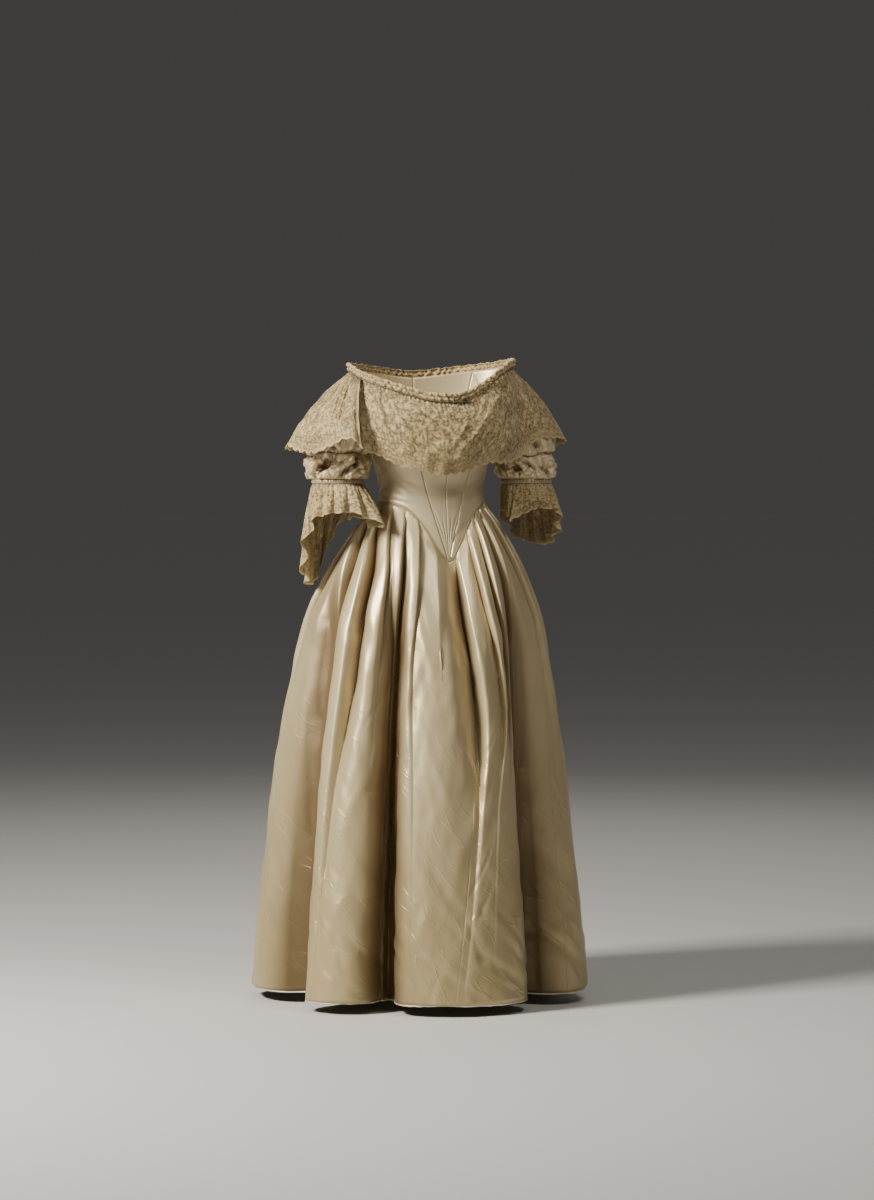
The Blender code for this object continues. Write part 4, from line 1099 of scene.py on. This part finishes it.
def collarPart(word, table, columns, rows, lift):
    # Lace hung from the neckline: each column is a quadratic curve from the neck edge to the lower edge,
    # bulging over what it covers, with waves that grow towards the edge, which is scalloped.
    s = collarSettings
    place = np.linspace(0, len(table) - 1, columns)
    hung, x, y, z, bulge, high = smoothThrough(np.arange(len(table)), table, place).T
    start = bodyPoint(hung, neckHeight(hung) - s["below"], s["stand"] + lift)
    end = np.stack([x, y, z], -1)
    run = np.concatenate([[0.0], np.cumsum(np.linalg.norm(np.diff(end, axis=0), axis=1))])
    out = np.stack([x, y, 0 * x], -1)
    out = out / np.linalg.norm(out, axis=1, keepdims=True)
    wave = high * np.sin(s["waves"] * np.unwrap(np.arctan2(x, -y)))
    middle = (start + end) / 2 + out * bulge[:, None]
    middle[:, 2] += 0.35 * bulge
    fan = np.abs(np.sin(np.pi * run / laceSettings["scallop"]))
    longer = s["fanDepth"] * (fan - 0.6) / 0.15
    share = np.linspace(0, 1, rows)[None, :, None]
    share = share * (1 + longer[:, None, None] * share**12)
    points = (1 - share) ** 2 * start[:, None] + 2 * share * (1 - share) * middle[:, None]
    points = points + share**2 * end[:, None] + (wave[:, None, None] * share**2) * out[:, None]
    lengths = np.linalg.norm(np.diff(points, axis=1), axis=2)
    v = np.concatenate([np.zeros((columns, 1)), np.cumsum(lengths, axis=1)], 1)
    u = run[:, None] + 0 * v
    motif = laceMotifs(u, v * (s["depth"] / v[:, -1:]), s["depth"], s["phase"])
    tuck = np.sin(u / s["tuckLength"] * 6.28 + 2 * np.sin(u * 70)) * np.exp(-v / 0.016)
    slack = np.sin(u / 0.052 * 6.28 + 4 * v / 0.1) * np.sin(v / 0.071 * 6.28 + u * 31)
    slack = slack * smoothStep(0.02, 0.05, v)
    folds = creaseField(u, v, collarFolds[word]) * smoothStep(0.0, 0.02, v)
    lifted = laceSettings["raised"] * motif + s["tuck"] * tuck + s["slack"] * slack + folds
    if word == "right":  # the front edge is folded over into a narrow roll
        roll = np.exp(-(((run[-1] - u) / s["rollWidth"]) ** 2))
        lifted = lifted + s["roll"] * roll
        motif = np.maximum(motif, 0.9 * roll)
    points = points + outwards(points) * lifted[..., None]
    name = "laceCollar" + word.title()
    uv = np.stack([u, v], -1)
    piece = clothMesh(name, points, ecruLace, wall=laceSettings["wall"], shades={"motif": motif}, uv=uv)
    declare(piece, "lace_collar_" + word)


def buildCollar():
    collarPart("left", collarLeft, 460, 72, 0.0)
    collarPart("right", collarRight, 304, 72, 0.0022)


frillSettings = {
    "columns": 1000, "rows": 12, "foot": 0.0022, "height": 0.0150, "stand": 0.0026, "row": 0.0034,
    "spread": 0.0010, "ruffles": 64, "ruffle": 0.0021, "small": 121, "smallRuffle": 0.0010,
    "picots": 98, "picot": 0.0011, "uvRadius": 0.26, "uvHeight": 0.022, "cut": (1.06, 0.021),
}


def buildFrill():
    # A gathered frill round the neck: two ruffled rows, one above the other, whose gathers crowd and
    # spread unevenly, and a picot edge.
    s = frillSettings
    angle = np.linspace(-180, 180, s["columns"] + 1)
    share = np.linspace(0, 1, s["rows"])[None, :]
    turn = np.radians(angle)[:, None]
    crowd = 1.9 * np.sin(5 * turn) + 1.3 * np.sin(11 * turn + 1) + 0.8 * np.sin(23 * turn)
    full = 0.70 + 0.30 * np.sin(9 * turn + 2 + np.sin(4 * turn))
    row = np.abs(np.sin(2 * np.pi * share)) ** 0.7
    later = 2.2 * smoothStep(0.4, 0.6, share)
    wave = s["ruffle"] * np.cos(s["ruffles"] * turn + crowd + later)
    wave = wave + s["smallRuffle"] * np.sin(s["small"] * turn + 2 * crowd - later)
    picot = s["picot"] * np.abs(np.sin(s["picots"] * turn + crowd)) + 0.0008 * np.sin(37 * turn + crowd)
    height = neckHeight(angle)[:, None] - s["foot"] + s["height"] * share + picot * share**4
    out = s["stand"] + s["row"] * row + s["spread"] * share + wave * full * (0.25 + 0.75 * row)
    points = np.stack([bodyPoint(angle, height[:, n], out[:, n]) for n in range(s["rows"])], 1)
    uv = np.stack([turn * s["uvRadius"] + 0 * height, s["uvHeight"] * share + 0 * height], -1)
    motif = 0.45 + 0.40 * np.cos(s["picots"] * turn + crowd) * np.sin(11 * share)
    motif = np.maximum(motif, smoothStep(0.84, 0.96, share))
    wall = laceSettings["wall"]
    piece = clothMesh("neckFrill", points, ecruLace, closed=True, wall=wall, shades={"motif": motif}, uv=uv)
    declare(piece, "neck_frill")


cordSettings = {
    "foot": 0.0022, "stand": 0.0055, "knotAngle": 6.0, "twists": 190, "thread": 0.00075, "lobe": 0.00050,
    "bowLength": 0.13, "bowScale": 1.5, "taper": 0.002,
    "knotStand": 0.0084, "knotSize": (0.0030, 0.0026, 0.0034),
}
bowTable = np.array([  # across, out and up from the knot, in millimetres
    (-12, 0.8, -17),
    (-7, 2.0, -8),
    (0, 2.8, 0),
    (-7, 4.2, 7),
    (-16, 3.0, 6),
    (-15, 2.0, -3),
    (-5, 3.2, -1),
    (0, 4.2, 1),
    (7, 4.4, 6),
    (17, 3.0, 7),
    (16, 2.0, -2),
    (6, 3.0, -2),
    (0, 2.6, -1),
    (5, 2.8, -9),
    (11, 1.0, -19),
])


def cordLine(angle, out):
    return bodyPoint(angle, neckHeight(angle) - cordSettings["foot"], out)


def bowLine(count):
    # Two loops and two ends of the tied cord: a smooth line through points in the plane of the frill.
    place = np.linspace(0, len(bowTable) - 1, count)
    across, out, up = smoothThrough(np.arange(len(bowTable)), bowTable / 1000, place).T
    angle = cordSettings["knotAngle"]
    foot = cordLine(angle, cordSettings["stand"])
    turn = math.radians(angle)
    right = np.array([math.cos(turn), math.sin(turn), 0.0])
    front = np.array([math.sin(turn), -math.cos(turn), 0.0])
    return foot + across[:, None] * right + out[:, None] * front + up[:, None] * np.array([0.0, 0.0, 1.0])


def cordProfile(along, points):
    # Two plies twisted round each other: a circle with two lobes that turn along the cord.
    s = cordSettings
    turn = np.linspace(0, 2 * np.pi, points + 1)[None, :]
    radius = s["thread"] + s["lobe"] * np.abs(np.cos(turn - along[:, None] * s["twists"] / 2))
    return np.stack([radius * np.cos(turn), radius * np.sin(turn)], -1)


def buildCord():
    # The cord drawn through the foot of the frill, and its bow with a round knot at centre front.
    s = cordSettings
    angle = np.linspace(-180, 180, 1081)[:-1]
    profile = cordProfile(np.radians(angle), 8)
    ring = clothMesh("neckCord", sweptTube(cordLine(angle, s["stand"]), profile), cordThread)
    bow = bowLine(240)
    length = np.concatenate([[0.0], np.cumsum(np.linalg.norm(np.diff(bow, axis=0), axis=1))])
    ends = np.sqrt(np.clip(np.minimum(length, length[-1] - length) / s["taper"], 0, 1))
    profile = cordProfile(length / s["bowLength"], 8) * ends[:, None, None]
    tied = clothMesh("bow", sweptTube(bow, s["bowScale"] * profile, closed=False), cordThread)
    heart = cordLine(s["knotAngle"], s["knotStand"])
    turn = np.linspace(0, 2 * np.pi, 17)[:, None]
    rise = np.linspace(-np.pi / 2, np.pi / 2, 11)[None, :]
    ball = np.stack([np.cos(rise) * np.cos(turn), np.cos(rise) * np.sin(turn), np.sin(rise) + 0 * turn], -1)
    knot = clothMesh("knot", heart + ball * np.array(s["knotSize"]), cordThread, centre=heart[:2])
    joined(ring, tied, knot)
    stands(ring, "neck_cord")


buildCollar()
buildFrill()
buildCord()
print("stage: collar")

sleeves = {"left": (1, 0.194, 0.0575), "right": (-1, 0.187, 0.0630)}  # side, x of the arm, fullest radius
upperPuff = np.array([  # share of the length, share off the armhole, x from the arm, height, radius share
    (0.00, 0.00, -0.030, 0.182, 0.60),
    (0.22, 0.45, -0.024, 0.178, 0.70),
    (0.45, 0.90, -0.012, 0.155, 0.80),
    (0.70, 1.00, -0.003, 0.122, 0.97),
    (0.88, 1.00, 0.000, 0.099, 0.99),
    (1.00, 1.00, 0.000, 0.0887, 0.88),
])
puffHollows = {  # by side and puff: angle, share down, half width in degrees, half height as a share, depth
    ("right", "Upper"): (
        (14, 0.96, 10, 0.14, 0.010), (62, 0.95, 9, 0.12, 0.011), (38, 0.80, 10, 0.12, 0.007),
    ),
    ("right", "Lower"): (
        (46, 0.46, 13, 0.30, 0.016), (84, 0.74, 9, 0.24, 0.012), (15, 0.90, 9, 0.18, 0.010),
        (108, 0.35, 9, 0.3, 0.009),
    ),
    ("left", "Upper"): ((84, 0.82, 11, 0.12, 0.009), (118, 0.90, 9, 0.10, 0.009)),
    ("left", "Lower"): (
        (102, 0.42, 11, 0.24, 0.014), (70, 0.62, 9, 0.30, 0.010), (132, 0.60, 9, 0.26, 0.010),
    ),
}
puffSettings = {
    "top": 0.0884, "bottom": 0.0418, "count": 11, "depth": 0.0090,
    "columns": 252, "rows": 40, "wall": 0.0010, "armholeOut": 0.0024,
    "folds": (11, 19, 41), "foldDepths": (0.0064, 0.0056, 0.0032), "crossDepths": (0.0048, 0.0026),
    "level": 0.0105,  # taken off, so that the folds stay about the solid's surface
    "gathers": 61, "gather": 0.0026, "gatherLength": 0.16, "scattered": 13, "rim": 0.0030,
    "deepest": -0.015, "highest": 0.0065, "shadeRange": (0.0022, -0.0080), "shade": 0.92,
}
band = {
    "top": 0.0415, "bottom": 0.0330, "radius": 0.0478, "wall": 0.0010,
    "swell": 0.0009, "crimps": 53, "crimp": 0.0020, "cut": (0.345, 0.010),
}
cuffSettings = {
    "count": 14, "height": 0.0082, "columns": 280, "rows": 40,
    "fan": 0.020, "fanDepth": 0.0032, "depth": 0.09, "narrow": 37, "narrowHeight": 0.0050,
    "gap": 0.0009, "phase": 1.1,
}
cuffs = {  # angle round the arm from outside to front, x, y and height of the lower edge
    "left": np.array(
        [
            (0, 0.262, 0.005, -0.060),
            (45, 0.242, -0.045, -0.018),
            (90, 0.195, -0.068, -0.014),
            (135, 0.132, -0.076, -0.038),
            (180, 0.152, -0.012, -0.012),
            (225, 0.162, 0.040, -0.030),
            (270, 0.206, 0.062, -0.075),
            (315, 0.250, 0.038, -0.086),
            (360, 0.262, 0.005, -0.060),
        ]
    ),
    "right": np.array(
        [
            (0, 0.252, 0.000, -0.075),
            (30, 0.240, -0.035, -0.030),
            (60, 0.222, -0.068, -0.022),
            (90, 0.192, -0.086, -0.020),
            (120, 0.155, -0.098, -0.032),
            (140, 0.126, -0.098, -0.047),
            (165, 0.136, -0.060, -0.048),
            (190, 0.154, -0.015, -0.030),
            (215, 0.168, 0.032, -0.040),
            (240, 0.187, 0.066, -0.090),
            (270, 0.202, 0.082, -0.148),
            (295, 0.218, 0.070, -0.159),
            (320, 0.235, 0.048, -0.150),
            (342, 0.247, 0.025, -0.115),
            (360, 0.252, 0.000, -0.075),
        ]
    ),
}


def armholeLoop(turn, out):
    # The armhole by angle round the arm: 0 outside, 90 front, 180 under, 270 back.
    under = (turn >= 90) & (turn <= 270)
    topTurn = np.where(turn > 180, turn - 360, turn)
    half = armhole["half"]
    angle = np.where(under, 90 + (turn - 180) / 90 * half, 90 - topTurn / 90 * half)
    strap = armhole["ends"] + armhole["rise"] * np.cos(np.radians(topTurn))
    height = np.where(under, armholeHeight(90 - np.abs(90 - angle)), strap)
    return bodyPoint(angle, height, out)


def bunching(turn, share, seed):
    # The CAD's slow bunches: 0 in the gathers and 1 on the fullest of a bunch.
    phase = seed + 0.8 * np.sin(2 * turn + seed) + 0.5 * np.sin(3 * share * np.pi + 2 * turn)
    wave = 0.5 + 0.5 * np.cos(puffSettings["count"] * turn + phase)
    uneven = 0.75 + 0.25 * np.sin(5 * turn + 2.3 * seed)
    return np.sin(np.pi * np.clip(share, 0, 1)) ** 0.6 * wave * uneven


def ruching(turn, share, seed, placed):
    # The bunched satin, as metres out from the slow bunches: rounded folds that run down, split and
    # swing, others across them, sharp gathers at both drawn ends, and deep hollows with a rim, those
    # seen in front listed one by one.
    s = puffSettings
    swing = 1.2 * np.sin(2 * np.pi * share + 3 * turn + seed) + 0.8 * np.sin(5 * turn + 2 * seed)
    broad, middling, fine = s["folds"]
    first = np.abs(np.sin(0.5 * (broad * turn + 2.4 * swing + seed)))
    second = 1 - np.abs(np.sin(0.5 * (middling * turn - 2.6 * swing + 7 * share + 2 * seed))) ** 0.8
    third = np.abs(np.sin(np.pi * (1.3 * share + 0.45 * np.sin(6 * turn + seed)) + seed))
    fourth = 1 - np.abs(np.sin(0.5 * (fine * turn + 4.4 * swing - 11 * share + seed))) ** 0.8
    wander = 0.8 * np.sin(9 * turn + 2 * seed) + 0.4 * np.sin(17 * turn)
    fifth = np.abs(np.sin(np.pi * (2.6 * share + wander)))
    relief = s["foldDepths"][0] * first**0.6 + s["foldDepths"][1] * second + s["crossDepths"][0] * third**0.6
    relief = relief + s["foldDepths"][2] * fourth + s["crossDepths"][1] * fifth**0.6 - s["level"]
    relief = relief * np.sin(np.pi * share) ** 0.5
    gather = np.abs(np.sin(0.5 * (s["gathers"] * turn + 3 * np.sin(7 * turn + seed))))
    relief = relief + s["gather"] * (gather - 0.6) * np.exp(-np.minimum(share, 1 - share) / s["gatherLength"])
    random = np.random.default_rng(int(10 * seed))
    count = s["scattered"]
    scattered = np.stack(
        [
            random.uniform(130, 400, count),
            random.uniform(0.2, 0.85, count),
            random.uniform(6, 12, count),
            random.uniform(0.10, 0.24, count),
            random.uniform(0.005, 0.010, count),
        ],
        1,
    )
    for angle, down, wide, high, depth in np.concatenate([np.array(placed, float).reshape(-1, 5), scattered]):
        off = around(np.degrees(turn) - angle + 40 * (share - down) * np.sin(angle)) / wide
        away = off**2 + ((share - down) / high) ** 2
        relief = relief - depth * np.exp(-away) + s["rim"] * np.exp(-((np.sqrt(away) - 1.7) ** 2) * 3)
    return np.clip(relief, s["deepest"], s["highest"])


def sleeveMesh(node, points, material, wall, centre, shades, uv=None):
    # A ring of cloth round the arm, named by its node.
    return clothMesh(pieceName(node), points, material, True, wall, centre, shades, uv)


def puffMeshes(word, side, arm, radius):
    # Two swollen rings: the upper starts as the armhole's loop and turns into level rings round the arm,
    # the lower swells between the gathers and the band. Both are bunched, then ruched along the normal.
    s = puffSettings
    turnDegrees = np.linspace(0, 360, s["columns"] + 1)
    turn = np.radians(turnDegrees)[:, None]
    share = np.linspace(0, 1, s["rows"])
    down = share[None, :]
    left, aside, height, full = smoothThrough(upperPuff[:, 0], upperPuff[:, 1:], share).T
    swell = radius * full[None, :] - s["depth"] + s["depth"] * bunching(turn, down, 1.0 + side)
    x = arm + aside[None, :] + swell * np.cos(turn)
    # the gathers between the two puffs wander up and down
    drawn = 0.0032 * np.sin(2 * turn + side) + 0.0026 * np.sin(5 * turn + 2 * side)
    z = height[None, :] + 0.05 * (1 - left)[None, :] * np.cos(turn) + drawn * down**3
    rings = np.stack([x, -swell * np.sin(turn), z], -1)
    loop = armholeLoop(turnDegrees, s["armholeOut"])[:, None]
    upper = loop * (1 - left)[None, :, None] + rings * left[None, :, None]
    upper[..., 0] *= side
    upperEnd = radius * upperPuff[-1, 4] - s["depth"]
    ends = upperEnd + (band["radius"] - upperEnd) * down
    fullness = np.sin(np.pi * down) ** 0.6
    swell = ends * (1 - fullness) + (radius - s["depth"]) * fullness
    swell = swell + s["depth"] * bunching(turn, down, 3.0 + side)
    z = s["top"] + (s["bottom"] - s["top"]) * down + drawn * (1 - down) ** 3
    lower = np.stack([side * (arm + swell * np.cos(turn)), -swell * np.sin(turn), z], -1)
    centre = (side * arm, 0.0)
    for label, points, seed in (("Upper", upper, 1.7), ("Lower", lower, 4.1)):
        relief = ruching(turn, down, seed + side, puffHollows[word, label])
        relief = relief * smoothStep(0.0, 0.08, np.minimum(share, 1 - share))[None, :]
        # painted shade in the hollows of the ruching, carried by the mesh
        shades = {"fold": s["shade"] * smoothStep(*s["shadeRange"], relief)}
        points = points + outwards(points, centre) * relief[..., None]
        node = "sleeve_" + label.lower() + "_puff_" + word
        piece = sleeveMesh(node, points, sleeveSatin, s["wall"], centre, shades)
        declare(piece, node)


def bandMesh(word, side, arm):
    # A short ring round the arm, crimped all round.
    turn = np.radians(np.linspace(0, 360, 201))[:, None]
    share = np.linspace(0, 1, 7)[None, :]
    z = band["top"] + (band["bottom"] - band["top"]) * share + 0 * turn
    crimp = np.abs(np.sin(0.5 * (band["crimps"] * turn + 3 * np.sin(5 * turn)))) ** 0.7 - 0.6
    radius = band["radius"] + (band["swell"] + band["crimp"] * crimp) * np.sin(np.pi * share) ** 0.6
    points = np.stack([side * (arm + radius * np.cos(turn)), -radius * np.sin(turn), z], -1)
    # painted shade: the whole band darkened, and more in the hollows of its crimps
    shades = {"fold": 0.35 + 0.45 * smoothStep(0.2, -0.5, crimp) + 0 * z}
    node = "sleeve_band_" + word
    piece = sleeveMesh(node, points, sleeveSatin, band["wall"], (side * arm, 0.0), shades)
    declare(piece, node)


def cuffMesh(word, side, arm, table):
    # Lace gathered onto the band, falling in waves to a scalloped edge, short in front and long behind.
    s = cuffSettings
    turnDegrees = np.linspace(0, 360, s["columns"] + 1)
    turn = np.radians(turnDegrees)[:, None]
    share = np.linspace(0, 1, s["rows"])[None, :]
    x, y, z = smoothThrough(table[:, 0], table[:, 1:], turnDegrees).T[:, :, None]
    edge = np.concatenate([x, y, z], 1)
    run = np.concatenate([[0.0], np.cumsum(np.linalg.norm(np.diff(edge, axis=0), axis=1))])
    fan = np.abs(np.sin(np.pi * run / run[-1] * round(run[-1] / s["fan"])))[:, None]
    startX = arm + band["radius"] * np.cos(turn)
    startY = -band["radius"] * np.sin(turn)
    startZ = band["bottom"] - s["gap"]
    long = np.sqrt((x - startX) ** 2 + (y - startY) ** 2 + (z - startZ) ** 2)
    share = share * (1 + (s["fanDepth"] * (fan - 0.6) / long) * share**10)
    outward = share**0.75
    wander = 0.7 * np.sin(3 * turn + side) + 0.4 * np.sin(7 * turn)
    narrow = np.abs(np.sin(0.5 * (s["narrow"] * turn + 3.2 * wander))) ** 0.7 - 0.6
    narrow = narrow * np.sin(np.pi * np.clip(share, 0, 1)) ** 0.5 * (1.15 - 0.7 * share)
    wave = s["height"] * share * np.cos(s["count"] * turn) + s["narrowHeight"] * narrow
    px = startX + (x - startX) * outward + wave * np.cos(turn)
    py = startY + (y - startY) * outward - wave * np.sin(turn)
    points = np.stack([side * px, py, startZ + (z - startZ) * share], -1)
    v = long * share
    u = run[:, None] + 0 * v
    motif = laceMotifs(u, v * (s["depth"] / long), s["depth"], s["phase"] + side)
    centre = (side * arm, 0.0)
    points = points + outwards(points, centre) * (laceSettings["raised"] * motif)[..., None]
    node = "lace_cuff_" + word
    shades = {"motif": motif}
    piece = sleeveMesh(node, points, ecruLace, laceSettings["wall"], centre, shades, np.stack([u, v], -1))
    declare(piece, node)


def buildSleeves():
    for word, (side, arm, radius) in sleeves.items():
        puffMeshes(word, side, arm, radius)
        bandMesh(word, side, arm)
        cuffMesh(word, side, arm, cuffs[word])


buildSleeves()
print("stage: sleeves")
